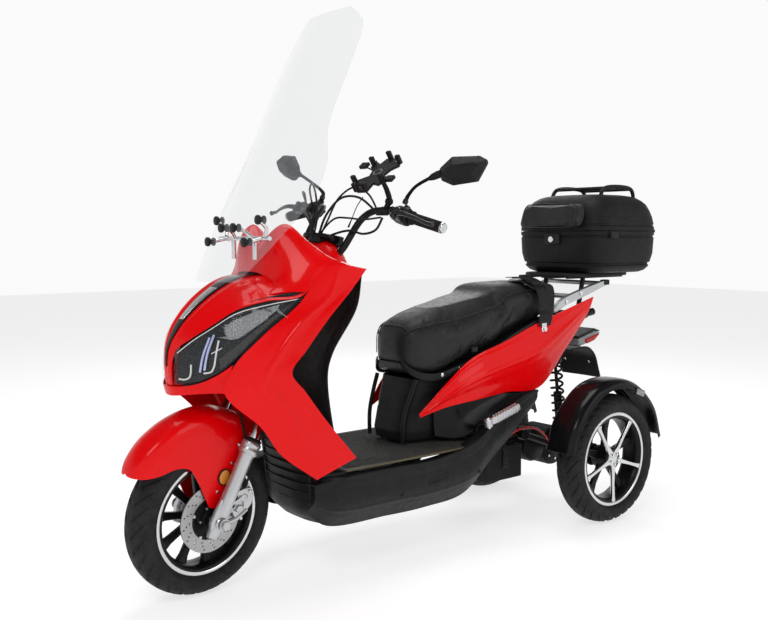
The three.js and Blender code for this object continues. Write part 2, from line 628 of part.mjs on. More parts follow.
function mainFrame() {
  const head = rod(onAxis(headTube[0]), onAxis(headTube[1]), stemRadius + 11, 14);
  const bore = rod(onAxis(headTube[0] - 20), onAxis(headTube[1] + 20), stemRadius + runningGap, 14);
  const spine = bentRod([onAxis(540, 18), front(0, 296, 560), front(0, 312, 380), front(0, 384, 236)],
    tubeRadius + 3, 6, 6);
  const railEnds = [front(0, 384, 236), rear(0, -640, 226)];
  const rails = [-1, 1].map((side) => bentRod([
    [0, ...railEnds[0].slice(1)], [side * railX, railEnds[0][1] + 60, 226], front(side * railX, 620, 226),
    [side * railX, ...railEnds[1].slice(1)],
    rear(side * railX, -440, 300), rear(side * (railX - 4), -330, 560), rear(side * (railX - 14), -180, 660),
    rear(side * (railX - 34), 60, 716), rear(side * (railX - 34), 160, 730)], tubeRadius, 16, 6));
  const across = [front(0, 620, 226), rear(0, -600, 226), rear(0, -190, 655), rear(0, 90, 722)]
    .map(([, y, z]) => {
      const reach = railX - (z > 240 ? 8 : -4);
      return rod([-reach, y, z], [reach, y, z], tubeRadius - 2, 8);
    });
  const boxPosts = [-1, 1].map((side) => rod(rear(side * 90, 90, 722), rear(side * 90, 120, 862), 9, 8));
  const hangers = [-1, 1].map((side) =>
    rod(rear(side * (railX - 8), -440, 300), rear(side * 48, ...swingPivot), 11, 8));
  const pegHangers = [-1, 1].map((side) => bentRod([rear(side * railX, -470, 290),
    rear(side * (pegX - 38), -520, 398), rear(side * (pegX - 10), -520, pegHeight)], 8, 6, 6));
  const pivotPin = rod(rear(-96, ...swingPivot), rear(96, ...swingPivot), 9, 12);
  const tubes = fuse(head, spine, ...rails, ...across, ...boxPosts, ...hangers, ...pegHangers, pivotPin);
  place('main_frame', cut(tubes, bore), blackMetal());
}

function batteryPack() {
  const width = 2 * (railX - tubeRadius - railClearance);
  place('battery_pack', fuse(block(width, 176, 118, 0, rearAxleY - 316, 216),
    block(width - 40, 140, 14, 0, rearAxleY - 316, 280)), blackPlastic());
}

// A bucket under the seat, open at the top.
function seatBox() {
  const wall = 4;
  const ring = (y0, y1, half, z, inset) => roundedRing([0, rearAxleY + 0.5 * (y0 + y1), z], half - inset,
    0.5 * (y1 - y0) - inset, X, Y, 20, 5);
  const top = railX - tubeRadius - railClearance - 2;
  const levels = [[-762, -400, top - 16, 350], [-768, -390, top - 10, 380], [-742, -380, top - 4, 480],
    [-716, -376, top, 572]];
  const outer = stack(levels.map(([y0, y1, half, z]) => ring(y0, y1, half, z, 0)));
  const inner = stack(levels.map(([y0, y1, half, z], i) =>
    ring(y0, y1, half, i ? z + (i > 2 ? 20 : 0) : z + 6, wall)));
  place('seat_box', cut(outer, inner), blackPlastic());
}

// ---------- tail ----------
function tailPanels() {
  const side = panel([
    [rear(wide(0.53), -734, 446), rear(wide(0.535), -732, 440), rear(wide(0.53), -730, 434)],
    [rear(wide(0.64), -640, 540), rear(wide(0.68), -640, 505), rear(wide(0.65), -640, 462)],
    [rear(wide(0.68), -537, 613), rear(wide(0.75), -530, 550), rear(wide(0.7), -520, 474)],
    [rear(wide(0.68), -376, 660), rear(wide(0.75), -376, 575), rear(wide(0.685), -376, 484)],
    [rear(wide(0.67), -226, 708), rear(wide(0.735), -215, 600), rear(wide(0.645), -190, 484)],
    [rear(wide(0.645), -60, 750), rear(wide(0.685), -50, 676), rear(wide(0.62), -50, 604)],
    [rear(wide(0.58), 120, 790), rear(wide(0.6), 96, 752), rear(wide(0.595), 66, 710)]], 12, 4, -1);
  place('tail_panel_left', side, redPaint());
  place('tail_panel_right', mirrorX(side), redPaint());
}

function grabRail() {
  const [inner, thick] = [wide(0.6) - 19, 20]; // inside the tail panels
  const outline = [[-110, 752], [-66, 786], [60, 824], [196, 854], [196, 832], [70, 794], [-40, 764], [-96, 738]]
    .map(([y, z]) => [rearAxleY + y, z]);
  const bars = [[0, 796], [170, 838]].map((spot) =>
    rod(rear(-inner - 4, ...spot), rear(inner + 4, ...spot), 9, 10));
  place('grab_rail', fuse(...withMirror(sidePlate(outline, inner, thick)), ...bars), silverMetal());
}

const rackTop = 878;
function rackPlate() {
  const plate = stack([864, rackTop].map((z) => roundedRing([0, rearAxleY + 190, z], 130, 190, X, Y, 24, 5)));
  place('rack_plate', plate, blackPlastic());
}

const boxMiddleY = 250; // behind the rear axle
const boxRing = (z, width, length, inset = 0, shift = 0) => roundedRing([0, rearAxleY + boxMiddleY + shift, z],
  0.5 * width - inset, 0.5 * length - inset, X, Y, 20, 5);

function topBox() {
  const wall = 4;
  const base = [[rackTop + touchGap, -90, -80], [rackTop + 22, -36, -30], [950, -8, -8],
    [boxSeamHeight - 2, 0, 0]];
  const baseOuter = stack(base.map(([z, w, l]) => boxRing(z, boxWidth + w, boxLength + l)));
  const baseInner = stack(base.map(([z, w, l], i) =>
    boxRing(i ? z + (i > 2 ? 12 : 0) : z + wall, boxWidth + w, boxLength + l, wall)));
  place('top_box_base', cut(baseOuter, baseInner), blackPlastic());

  const lid = [[boxSeamHeight + 1, 0, 0], [1090, -16, -18], [1140, -56, -60], [1166, -120, -120],
    [1174, -210, -210]];
  const lidOuter = stack(lid.map(([z, w, l]) => boxRing(z, boxWidth + w, boxLength + l)));
  const lidInner = stack(lid.map(([z, w, l], i) =>
    boxRing(i ? z - wall : z - 12, boxWidth + w, boxLength + l, wall)));
  const [loopX, railFront, railBack, railTop] = [118, boxMiddleY - 50, boxMiddleY + 120, 1200];
  const posts = [-1, 1].flatMap((side) => [railFront, railBack].map((y) =>
    rod(rear(side * loopX, y, 1140), rear(side * loopX, y, railTop + 6), 8, 6)));
  const runs = [-1, 1].map((side) => rod(rear(side * loopX, railFront - 7, railTop),
    rear(side * loopX, railBack + 7, railTop), 8, 6));
  const bars = [railFront, railBack].map((y) => rod(rear(-loopX, y, railTop), rear(loopX, y, railTop), 7, 6));
  place('top_box_lid', fuse(cut(lidOuter, lidInner), ...posts, ...runs, ...bars), blackPlastic());

  const padFront = boxMiddleY - 0.5 * boxLength - 26;
  const pad = stack([[1050, 280, 30], [1062, 316, 36], [1110, 316, 36], [1136, 290, 30]].map(([z, w, thick]) =>
    roundedRing([0, rearAxleY + padFront + 0.3 * (z - 1050) + 4, z], 0.5 * w, 0.5 * thick, X, Y, 20, 4)));
  place('top_box_pad', pad, leather());
}

function tailLamp() {
  const outline = [[60, 640], [150, 664], [196, 650], [150, 618], [72, 604]]
    .map(([y, z]) => [rearAxleY + y, z]);
  place('tail_lamp', sidePlate(outline, -126, 252), lampPlastic());
}

function plateBracket() {
  const row = (y, z) => [rear(92, y, z), rear(0, y + 4, z), rear(-92, y, z)];
  place('plate_bracket', panel([row(60, 588), row(150, 590), row(190, 560), row(230, 470)], 8, 4, 1, 5),
    blackPlastic());
}

// ---------- seat ----------
function seatCushion() {
  const section = ([y, half, top, bottom]) => {
    const middle = 0.5 * (top + bottom);
    return Array.from({ length: 18 }, (_, i) => {
      const angle = (2 * Math.PI * (i + 0.5)) / 18;
      const [across, up] = [Math.cos(angle), Math.sin(angle)];
      const round = (v, power) => Math.sign(v) * Math.abs(v) ** power;
      return new THREE.Vector3(half * round(across, 0.5), rearAxleY + y,
        middle + 0.5 * (top - bottom) * round(up, up > 0 ? 0.7 : 0.3));
    });
  };
  const profile = [[-766, 50, 690, 626], [-752, 84, 718, 606], [-724, 108, 738, 594], [-660, 126, 752, 582],
    [-560, 146, 768, 608], [-460, 160, seatHeight - 2, 632], [-386, 163, seatHeight + 14, 652],
    [-340, 162, seatHeight + 42, 666], [-240, 158, seatHeight + 56, 700], [-160, 150, seatHeight + 50, 724],
    [-124, 128, seatHeight + 30, 742]];
  place('seat_cushion', stack(profile.map(section)), leather());
}

// A wide flat webbing band over the back of the seat, down to an anchor on each side.
function seatStrap() {
  const top = seatHeight + 66;
  const half = [[170, 700], [171, 770], [150, top - 16], [80, top + 1], [0, top + 3]];
  const hoop = [...half, ...half.slice(0, -1).reverse().map(([x, z]) => [-x, z])];
  const rows = [-212, -190, -168].map((y) => hoop.map(([x, z]) => rear(x, y, z)));
  place('seat_strap', panel(rows, 2, 20, -1, 4), rubber());
}

// Each peg lies folded back along the body and swings out about an upright pin.
function footpegs() {
  for (const [side, hand] of [[1, 'left'], [-1, 'right']]) {
    const bar = block(18, 126, 24, 0, 84, 0);
    const knuckle = rod([0, 0, -13], [0, 0, 13], 12, 12);
    const tread = [40, 70, 100, 130].map((y) => block(22, 8, 28, 0, y, 0));
    const peg = fuse(bar, knuckle, ...tread, block(14, 30, 18, 0, 14, 0));
    peg.rotateX(0.26).translate(side * (pegX + 4), rearAxleY - 520, pegHeight + 2);
    place('footpeg_' + hand, peg, silverMetal());
  }
}

// ---------- rear axle, shocks, wheels and mudguards ----------
const shockFoot = axleHeight + 68.4;
const shockX = wide(0.6) - 29; // inside the tail panels
function rearAxle() {
  const reach = rearTrack / 2 - rimHalfWidth - 12;
  const tube = rod(rear(-reach, 0, axleHeight), rear(reach, 0, axleHeight), 24, 10);
  const stub = rod(rear(-reach - 62, 0, axleHeight), rear(reach + 62, 0, axleHeight), 11, 12);
  const casing = rod(rear(-60, 0, axleHeight), rear(64, 0, axleHeight), 74, 14);
  const motor = rod(rear(-20, -108, 244), rear(64, -108, 244), 62, 14);
  const arms = [-1, 1].map((side) => fuse(
    rod(rear(side * 86, ...swingPivot), rear(side * 86, 0, axleHeight), 13, 10),
    rod(rear(side * 86 - 14, ...swingPivot), rear(side * 86 + 14, ...swingPivot), 20, 12)));
  const seats = [-1, 1].map((side) => block(44, 44, 50, side * shockX, rearAxleY - 24, shockFoot - 28));
  const pinHole = rod(rear(-130, ...swingPivot), rear(130, ...swingPivot), 9 + touchGap + 0.4, 12);
  place('rear_axle_housing', cut(fuse(tube, stub, casing, motor, ...arms, ...seats), pinHole), blackMetal());
}

function shocks() {
  for (const [side, hand] of [[1, 'left'], [-1, 'right']]) {
    const x = side * shockX;
    const coil = rod(rear(x, -30, shockFoot), rear(x, -70, 600), 26, 14);
    const eye = rod(rear(x - 12, -72, 614), rear(x + 12, -72, 614), 16, 12);
    place('shock_' + hand, fuse(coil, eye), blackMetal());
  }
}

function rearWheels() {
  for (const [side, hand] of [[1, 'left'], [-1, 'right']]) {
    const group = new THREE.Group();
    group.position.set(side * rearTrack / 2, rearAxleY, axleHeight);
    scooter.add(group);
    place('rear_tyre_' + hand, tyreSolid(), rubber(), group);
    place('rear_rim_' + hand, rimSolid(5, 38, 36, 11 + runningGap), silverMetal(), group);
  }
}

function mudguards() {
  const inner = rearTrack / 2 - tyreHalfWidth - 8;
  const outer = rearTrack / 2 + tyreHalfWidth + 8;
  const row = (degrees, radius) => {
    const angle = THREE.MathUtils.degToRad(degrees);
    const reach = radius + tyreGrowth;
    const at = (x, r) => rear(x, r * Math.cos(angle), axleHeight + r * Math.sin(angle));
    return [at(inner, reach - 22), at(inner + 8, reach), at(0.5 * (inner + outer), reach + 6),
      at(outer - 14, reach), at(outer, reach - 24)];
  };
  const arch = panel([row(12, 266), row(40, 272), row(75, 282), row(110, 284), row(145, 274), row(168, 266)],
    12, 6, 1);
  const stayTop = axleHeight + 262 + tyreGrowth;
  const stay = rod(rear(inner - 8, 0, axleHeight + 30), rear(inner + 4, 0, stayTop), 7, 8);
  place('mudguard_left', fuse(arch, stay), blackPlastic());
  place('mudguard_right', mirrorX(fuse(arch, stay)), blackPlastic());
}

frontWheel();
fork();
brakeCaliper();
frontFender();
handlebar();
mirrors();
phoneCradle();
hornButton();
controlCables();
headlights();
noseCover();
sideFairings();
dashCover();
legShield();
frontGrille();
bellyPanels();
floorboard();
windscreen();
windscreenBracket();
ignitionKey();
mainFrame();
batteryPack();
seatBox();
tailPanels();
grabRail();
rackPlate();
topBox();
tailLamp();
plateBracket();
seatCushion();
seatStrap();
footpegs();
rearAxle();
shocks();
rearWheels();
mudguards();

// The origin is on the ground at the middle of the scooter's length.
const standing = new THREE.Group();
standing.add(scooter);
scooter.position.y = -new THREE.Box3().setFromObject(scooter).getCenter(new THREE.Vector3()).y;

export default standing;
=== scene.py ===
"""Looks for the three-wheeled mobility scooter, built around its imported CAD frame.

Lengths below are millimetres in the scooter's own layout, as in the CAD source: y is measured from the
point midway between the axles, z from the ground. They are turned to metres when a mesh is made.
"""

from math import atan2, cos, pi, radians, sin

import bmesh
import bpy
import numpy as np
from mathutils import Matrix, Quaternion, Vector


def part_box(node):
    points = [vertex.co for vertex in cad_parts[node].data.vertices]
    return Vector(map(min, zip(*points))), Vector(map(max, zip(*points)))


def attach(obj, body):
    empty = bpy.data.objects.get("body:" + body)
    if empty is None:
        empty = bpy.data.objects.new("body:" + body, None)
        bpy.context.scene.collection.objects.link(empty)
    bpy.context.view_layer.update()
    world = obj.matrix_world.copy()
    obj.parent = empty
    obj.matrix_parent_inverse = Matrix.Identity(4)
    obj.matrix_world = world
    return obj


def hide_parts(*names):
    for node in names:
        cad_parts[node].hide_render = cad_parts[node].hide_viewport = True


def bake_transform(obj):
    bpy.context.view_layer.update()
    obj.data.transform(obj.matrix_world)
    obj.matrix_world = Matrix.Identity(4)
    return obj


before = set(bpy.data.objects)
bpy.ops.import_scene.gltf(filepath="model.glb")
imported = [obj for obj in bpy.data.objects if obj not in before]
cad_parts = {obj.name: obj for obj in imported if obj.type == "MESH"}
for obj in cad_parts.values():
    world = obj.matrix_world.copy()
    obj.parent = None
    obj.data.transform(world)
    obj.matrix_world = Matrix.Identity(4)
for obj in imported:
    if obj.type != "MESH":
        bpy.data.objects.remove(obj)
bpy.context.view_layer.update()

# ---------- driving dimensions, the same as the CAD source ----------
WHEELBASE = 1452
FRONT_Y, REAR_Y = -WHEELBASE / 2, WHEELBASE / 2
REAR_TRACK = 606
BODY_HALF = 245
TYRE_RADIUS = 229
TYRE_HALF = 52
RIM_HALF = 42
AXLE_Z = TYRE_RADIUS * cos(pi / 28)
FRONT_LIFT = 0.6
RAKE = radians(28)
TURN = radians(7.5)
FORK_OFFSET = 35
FORK_HALF = 88
FLOOR_Z = 340
SEAT_Z = 790
RACK_TOP = 878
BOX_SEAM_Z = 1036
BOX_MIDDLE_Y = 250
BOX_WIDTH, BOX_LENGTH = 430, 400

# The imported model's origin is at the middle of its length, ahead of the point midway between the axles.
_tyre_low, _tyre_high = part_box("rear_tyre_left")
SHIFT_Y = 1000 * 0.5 * (_tyre_low.y + _tyre_high.y) - REAR_Y
BODY = Matrix.Scale(0.001, 4) @ Matrix.Translation((0, SHIFT_Y, 0))

AXIS_FOOT = Vector((0, FRONT_Y, AXLE_Z + FRONT_LIFT)) + FORK_OFFSET * Vector((0, cos(RAKE), -sin(RAKE)))
# TURNED: x across, y back, z up the steering axis. AHEAD: upright axes about the front axle's middle.
TURNED = BODY @ Matrix.Translation(AXIS_FOOT) @ Matrix.Rotation(-RAKE, 4, "X") @ Matrix.Rotation(TURN, 4, "Z")
AHEAD = TURNED @ Matrix.Translation((0, -FORK_OFFSET, 0)) @ Matrix.Rotation(RAKE, 4, "X")
GRIP_INNER, GRIP_OUTER = Vector((226, 74, 1030)), Vector((356, 94, 1011))


def bar_end(side):
    """A frame at the grip's inner end: z runs out along the bar, y back."""
    start = Vector((side * GRIP_INNER.x, GRIP_INNER.y, GRIP_INNER.z))
    end = Vector((side * GRIP_OUTER.x, GRIP_OUTER.y, GRIP_OUTER.z))
    turn = Vector((0, 0, 1)).rotation_difference((end - start).normalized())
    return TURNED @ Matrix.Translation(start) @ turn.to_matrix().to_4x4()


def rear_hub(side):
    return BODY @ Matrix.Translation((side * REAR_TRACK / 2, REAR_Y, AXLE_Z))


def wide(share):
    return share * BODY_HALF


def front(rows):
    return [[(x, FRONT_Y + y, z) for x, y, z in row] for row in rows]


def rear(rows):
    return [[(x, REAR_Y + y, z) for x, y, z in row] for row in rows]


# ---------- shapes: each returns a list of (vertices, faces) in millimetres ----------
def smooth(points, count):
    """Centripetal Catmull-Rom through the points along the first axis of the array."""
    p = np.asarray(points, float)
    last = len(p) - 1
    before, after = 2 * p[0] - p[1], 2 * p[last] - p[last - 1]
    out = []
    for k in range(count + 1):
        place = last * k / count
        i = min(int(place), last - 1)
        w = place - i
        p0 = p[i - 1] if i else before
        p1, p2 = p[i], p[i + 1]
        p3 = p[i + 2] if i + 2 <= last else after
        d0, d1, d2 = (np.maximum(np.sum((b - a) ** 2, axis=-1, keepdims=True) ** 0.25, 1e-6)
                      for a, b in ((p0, p1), (p1, p2), (p2, p3)))
        t1 = ((p1 - p0) / d0 - (p2 - p0) / (d0 + d1) + (p2 - p1) / d1) * d1
        t2 = ((p2 - p1) / d1 - (p3 - p1) / (d1 + d2) + (p3 - p2) / d2) * d1
        out.append(p1 + t1 * w + (-3 * p1 + 3 * p2 - 2 * t1 - t2) * w**2 + (2 * p1 - 2 * p2 + t1 + t2) * w**3)
    return np.array(out)


def grid_faces(rows, columns, closed=False):
    wrap = columns if closed else columns - 1
    return [(i * columns + j, i * columns + (j + 1) % columns, (i + 1) * columns + (j + 1) % columns,
             (i + 1) * columns + j) for i in range(rows - 1) for j in range(wrap)]


def fine_grid(rows, along, across):
    """A smooth grid of points through rows of control points."""
    by_row = np.array([smooth(row, across) for row in rows])
    return smooth(by_row, along)


def sheet_of(grid):
    grid = np.asarray(grid)
    return [(grid.reshape(-1, 3), grid_faces(*grid.shape[:2]))]


def surface(rows, along, across):
    return sheet_of(fine_grid(rows, along, across))


def loft(rings, caps=True):
    """A solid through closed rings of equal length."""
    rings = np.asarray(rings, float)
    count, size = rings.shape[:2]
    faces = grid_faces(count, size, closed=True)
    verts = rings.reshape(-1, 3)
    if caps:
        verts = np.vstack([verts, rings[0].mean(0), rings[-1].mean(0)])
        hub = count * size
        faces += [((j + 1) % size, j, hub) for j in range(size)]
        faces += [(hub - size + j, hub - size + (j + 1) % size, hub + 1) for j in range(size)]
    return [(verts, faces)]


def turned(profile, segments=96, axis="X", closed=True):
    """The profile of (radius, place along the axis) points, turned about the axis."""
    angles = np.arange(segments) * 2 * pi / segments
    r = np.array([p[0] for p in profile])[None, :]
    along = np.array([p[1] for p in profile])[None, :] + 0 * angles[:, None]
    c, s = np.cos(angles)[:, None] * r, np.sin(angles)[:, None] * r
    order = {"X": (along, c, s), "Y": (s, along, c), "Z": (c, s, along)}[axis]
    verts = np.stack(order, -1)
    size = len(profile)
    faces = []
    for i in range(segments):
        nxt = (i + 1) % segments
        for j in range(size if closed else size - 1):
            k = (j + 1) % size
            faces.append((i * size + j, nxt * size + j, nxt * size + k, i * size + k))
    return [(verts.reshape(-1, 3), faces)]


def knob(radius, start, end, axis="X", round_off=2, segments=32, bore=0):
    """A short round boss along an axis through the origin, with rounded edges."""
    r = round_off * (1 if end > start else -1)
    return turned([(bore or 0.01, start), (radius - round_off, start),
                   (radius - 0.3 * round_off, start + 0.3 * r),
                   (radius, start + r), (radius, end - r), (radius - 0.3 * round_off, end - 0.3 * r),
                   (radius - round_off, end), (bore or 0.01, end)], segments, axis)


def tube(points, radius, steps=40, sides=16, straight=False):
    """A round tube along a smooth curve; radius is a number or one value for each control point."""
    p = np.asarray(points, float)
    path = p if straight else smooth(p, steps)
    radii = np.interp(np.linspace(0, 1, len(path)), np.linspace(0, 1, len(np.atleast_1d(radius))),
                      np.atleast_1d(radius)) if np.ndim(radius) else np.full(len(path), float(radius))
    tangents = np.gradient(path, axis=0)
    tangents /= np.linalg.norm(tangents, axis=1)[:, None]
    first = Vector(tangents[0])
    normal = np.array(first.orthogonal().normalized())
    rings, angles = [], np.arange(sides) * 2 * pi / sides
    for k, (centre, t) in enumerate(zip(path, tangents)):
        normal = normal - t * np.dot(normal, t)
        normal /= np.linalg.norm(normal)
        other = np.cross(t, normal)
        rings.append(centre + radii[k] * (np.cos(angles)[:, None] * normal + np.sin(angles)[:, None] * other))
    return loft(rings)


def rod(start, end, radius, sides=24):
    return tube([start, end], radius, sides=sides, straight=True)


def ribbon(points, half_width, thickness, side, steps=60):
    """A flat strap along a smooth curve; side is the direction across it, one for all or one for each point."""
    path = smooth(points, steps)
    across = np.array(side, float)
    across = smooth(across, steps) if across.ndim == 2 else np.tile(across, (len(path), 1))
    across /= np.linalg.norm(across, axis=1)[:, None]
    up = np.cross(across, np.gradient(path, axis=0))
    up /= np.linalg.norm(up, axis=1)[:, None]
    t, w = thickness / 2, half_width
    section = [(-w, -0.4 * t), (-w + t, -t), (w - t, -t), (w, -0.4 * t), (w, 0.4 * t), (w - t, t),
               (-w + t, t),
               (-w, 0.4 * t)]
    return loft([[c + a * u + b * v for a, b in section] for c, u, v in zip(path, across, up)])


def block(size, centre, turn=None):
    """A box; its edges are rounded by the bevel that make() adds."""
    half = np.array(size) / 2
    corners = np.array([(x, y, z) for x in (-1, 1) for y in (-1, 1) for z in (-1, 1)]) * half
    if turn is not None:
        corners = corners @ np.array(turn.to_3x3()).T
    faces = [(0, 1, 3, 2), (4, 6, 7, 5), (0, 4, 5, 1), (2, 3, 7, 6), (0, 2, 6, 4), (1, 5, 7, 3)]
    return [(corners + np.array(centre), faces)]


def plate(outlines, thickness, to_space):
    """A flat plate with holes: outlines of (u, v), the first one the rim; to_space maps (u, v, depth)."""
    curve = bpy.data.curves.new("plate", "CURVE")
    curve.dimensions, curve.fill_mode, curve.extrude = "2D", "BOTH", thickness / 2
    for outline in outlines:
        spline = curve.splines.new("POLY")
        spline.points.add(len(outline) - 1)
        spline.points.foreach_set("co", [c for u, v in outline for c in (u, v, 0, 1)])
        spline.use_cyclic_u = True
    holder = bpy.data.objects.new("plate", curve)
    mesh = bpy.data.meshes.new_from_object(holder)
    verts = np.array([v.co for v in mesh.vertices])
    faces = [tuple(f.vertices) for f in mesh.polygons]
    bpy.data.objects.remove(holder)
    bpy.data.curves.remove(curve)
    bpy.data.meshes.remove(mesh)
    return [(np.array([to_space(*v) for v in verts]), faces)]


def circle(radius, count=24, centre=(0, 0), start=0.0):
    return [(centre[0] + radius * cos(start + 2 * pi * k / count),
             centre[1] + radius * sin(start + 2 * pi * k / count))
            for k in range(count)]


def in_side_plane(x):
    """Maps a plate's (u, v, depth) to y, z at a given x."""
    return lambda u, v, d: (x + d, u, v)


def superellipse(centre, half_a, half_b, axis_a, axis_b, count=48, power=4.0):
    angles = (np.arange(count) + 0.5) * 2 * pi / count
    reach = lambda value: np.sign(value) * np.abs(value) ** (2 / power)
    return (np.array(centre) + half_a * reach(np.cos(angles))[:, None] * np.array(axis_a)
            + half_b * reach(np.sin(angles))[:, None] * np.array(axis_b))


def moved(parts, matrix):
    m = np.array(matrix)
    return [(verts @ m[:3, :3].T + m[:3, 3], faces) for verts, faces in parts]


def mirrored(parts):
    return [(verts * np.array([-1, 1, 1]), [tuple(reversed(f)) for f in faces]) for verts, faces in parts]


def both_sides(parts):
    return parts + mirrored(parts)


def spin(parts, count, axis="X", start=0.0):
    return [p for k in range(count) for p in moved(parts,
                                                   Matrix.Rotation(start + 2 * pi * k / count, 4, axis))]


pieces = {}


def make(name, parts, material, body, stands_for=(), space=BODY, bevel=0.0, subdivide=0, thick=0.0,
         weld=False, angle=35):
    """One visible piece: a mesh in metres that rides on a body; given a tuple that names two bodies, it is only
    baked in place.
    """
    mesh = bpy.data.meshes.new(name)
    verts, faces, base = [], [], 0
    for part_verts, part_faces in parts:
        verts.append(np.asarray(part_verts, float))
        faces += [tuple(base + v for v in f) for f in part_faces]
        base += len(part_verts)
    m = np.array(space)
    points = np.vstack(verts) @ m[:3, :3].T + m[:3, 3]
    mesh.from_pydata(points.tolist(), [], faces)
    mesh.validate()
    bm = bmesh.new()
    bm.from_mesh(mesh)
    bmesh.ops.remove_doubles(bm, verts=bm.verts, dist=2e-6 if not weld else 2e-4)
    bmesh.ops.recalc_face_normals(bm, faces=bm.faces)
    bm.to_mesh(mesh)
    bm.free()
    obj = bpy.data.objects.new(name, mesh)
    bpy.context.scene.collection.objects.link(obj)
    mesh.materials.append(material)
    if thick:
        shell = obj.modifiers.new("thickness", "SOLIDIFY")
        shell.thickness, shell.offset = thick / 1000, -1
        shell.use_even_offset = True
    if bevel:
        edge = obj.modifiers.new("edges", "BEVEL")
        edge.width, edge.segments, edge.limit_method = bevel / 1000, 2, "ANGLE"
        edge.angle_limit = radians(40)
        edge.harden_normals = False
    if subdivide:
        fine = obj.modifiers.new("surface", "SUBSURF")
        fine.levels = fine.render_levels = subdivide
    mesh.shade_smooth()
    if angle < 180:
        mesh.set_sharp_from_angle(angle=radians(angle))
    if isinstance(body, tuple):
        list(body)
        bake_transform(obj)
    else:
        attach(obj, body)
    if stands_for:
        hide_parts(*([stands_for] if isinstance(stands_for, str) else stands_for))
    pieces[name] = obj
    return obj


# ---------- materials ----------
def material(name, color, roughness=0.5, metallic=0.0, **inputs):
    """A Principled material whose even values sit on the shader's own sockets."""
    mat = bpy.data.materials.new(name)
    mat.use_nodes = True
    shader = mat.node_tree.nodes["Principled BSDF"]
    shader.inputs["Base Color"].default_value = (*color, 1)
    shader.inputs["Roughness"].default_value = roughness
    shader.inputs["Metallic"].default_value = metallic
    for key, value in inputs.items():
        shader.inputs[key.replace("_", " ")].default_value = value
    return mat


class Paint:
    """Adds procedural detail to a material, in object space so that it is fixed to the piece."""

    def __init__(self, mat):
        self.mat, self.nodes, self.links = mat, mat.node_tree.nodes, mat.node_tree.links
        self.shader = self.nodes["Principled BSDF"]
        self.place = self.nodes.new("ShaderNodeTexCoord").outputs["Object"]
        self.height = None

    def stretched(self, scale):
        node = self.nodes.new("ShaderNodeMapping")
        node.inputs["Scale"].default_value = scale
        self.links.new(self.place, node.inputs["Vector"])
        return node.outputs["Vector"]

    def noise(self, scale, detail=3.0, rough=0.55, stretch=None):
        node = self.nodes.new("ShaderNodeTexNoise")
        node.inputs["Scale"].default_value = scale
        node.inputs["Detail"].default_value = detail
        node.inputs["Roughness"].default_value = rough
        self.links.new(self.stretched(stretch) if stretch else self.place, node.inputs["Vector"])
        return node.outputs["Fac"]

    def cells(self, scale, feature="DISTANCE_TO_EDGE"):
        node = self.nodes.new("ShaderNodeTexVoronoi")
        node.feature = feature
        node.inputs["Scale"].default_value = scale
        self.links.new(self.place, node.inputs["Vector"])
        return node.outputs["Distance"]

    def waves(self, scale, direction, distortion=0.0):
        node = self.nodes.new("ShaderNodeTexWave")
        node.bands_direction = direction
        node.inputs["Scale"].default_value = scale
        node.inputs["Distortion"].default_value = distortion
        self.links.new(self.place, node.inputs["Vector"])
        return node.outputs["Fac"]

    def span(self, fac, low, high, start=0.0, end=1.0):
        node = self.nodes.new("ShaderNodeMapRange")
        node.inputs["From Min"].default_value, node.inputs["From Max"].default_value = start, end
        node.inputs["To Min"].default_value, node.inputs["To Max"].default_value = low, high
        self.links.new(fac, node.inputs["Value"])
        return node.outputs["Result"]

    def roughness(self, fac, low, high, start=0.3, end=0.7):
        self.links.new(self.span(fac, low, high, start, end), self.shader.inputs["Roughness"])
        return self

    def colours(self, fac, dark, light, start=0.3, end=0.7):
        node = self.nodes.new("ShaderNodeMix")
        node.data_type = "RGBA"
        node.inputs["A"].default_value, node.inputs["B"].default_value = (*dark, 1), (*light, 1)
        self.links.new(self.span(fac, 0, 1, start, end), node.inputs["Factor"])
        self.links.new(node.outputs["Result"], self.shader.inputs["Base Color"])
        return self

    def bump(self, fac, strength, distance):
        node = self.nodes.new("ShaderNodeBump")
        node.inputs["Strength"].default_value = strength
        node.inputs["Distance"].default_value = distance
        self.links.new(fac, node.inputs["Height"])
        if self.height is not None:
            self.links.new(self.height, node.inputs["Normal"])
        self.height = node.outputs["Normal"]
        self.links.new(self.height, self.shader.inputs["Normal"])
        return self

    def wear(self, amount, light):
        """Paler rubbed edges, from the surface's own curvature."""
        curve = self.nodes.new("ShaderNodeNewGeometry").outputs["Pointiness"]
        mix = self.nodes.new("ShaderNodeMix")
        mix.data_type = "RGBA"
        base = self.shader.inputs["Base Color"]
        if base.links:
            self.links.new(base.links[0].from_socket, mix.inputs["A"])
        else:
            mix.inputs["A"].default_value = base.default_value
        mix.inputs["B"].default_value = (*light, 1)
        self.links.new(self.span(curve, 0, amount, 0.52, 0.62), mix.inputs["Factor"])
        self.links.new(mix.outputs["Result"], base)
        return self


def red_gloss():
    mat = material("red_gloss_lacquer", (0.72, 0.0, 0.001), 0.34, Specular_IOR_Level=0.08, Coat_Weight=0.26,
                   Coat_Roughness=0.05)
    paint = Paint(mat)
    paint.colours(paint.noise(3.0, 2), (0.70, 0.0, 0.001), (0.76, 0.0, 0.002))
    return paint.roughness(paint.noise(40, 4), 0.24, 0.34).bump(paint.noise(260, 2), 0.04, 0.0004).mat


def grained(name, color, light, roughness=(0.45, 0.6), grain=900.0, depth=0.0003):
    mat = material(name, color, roughness[0], Specular_IOR_Level=0.16)
    color, light = (tuple(0.6 * c for c in tone) for tone in (color, light))
    paint = Paint(mat)
    paint.colours(paint.noise(22, 4), color, light)
    paint.roughness(paint.noise(60, 4), *roughness).bump(paint.cells(grain), 0.25, depth)
    return paint.wear(0.3, tuple(c * 2 + 0.006 for c in light)).mat


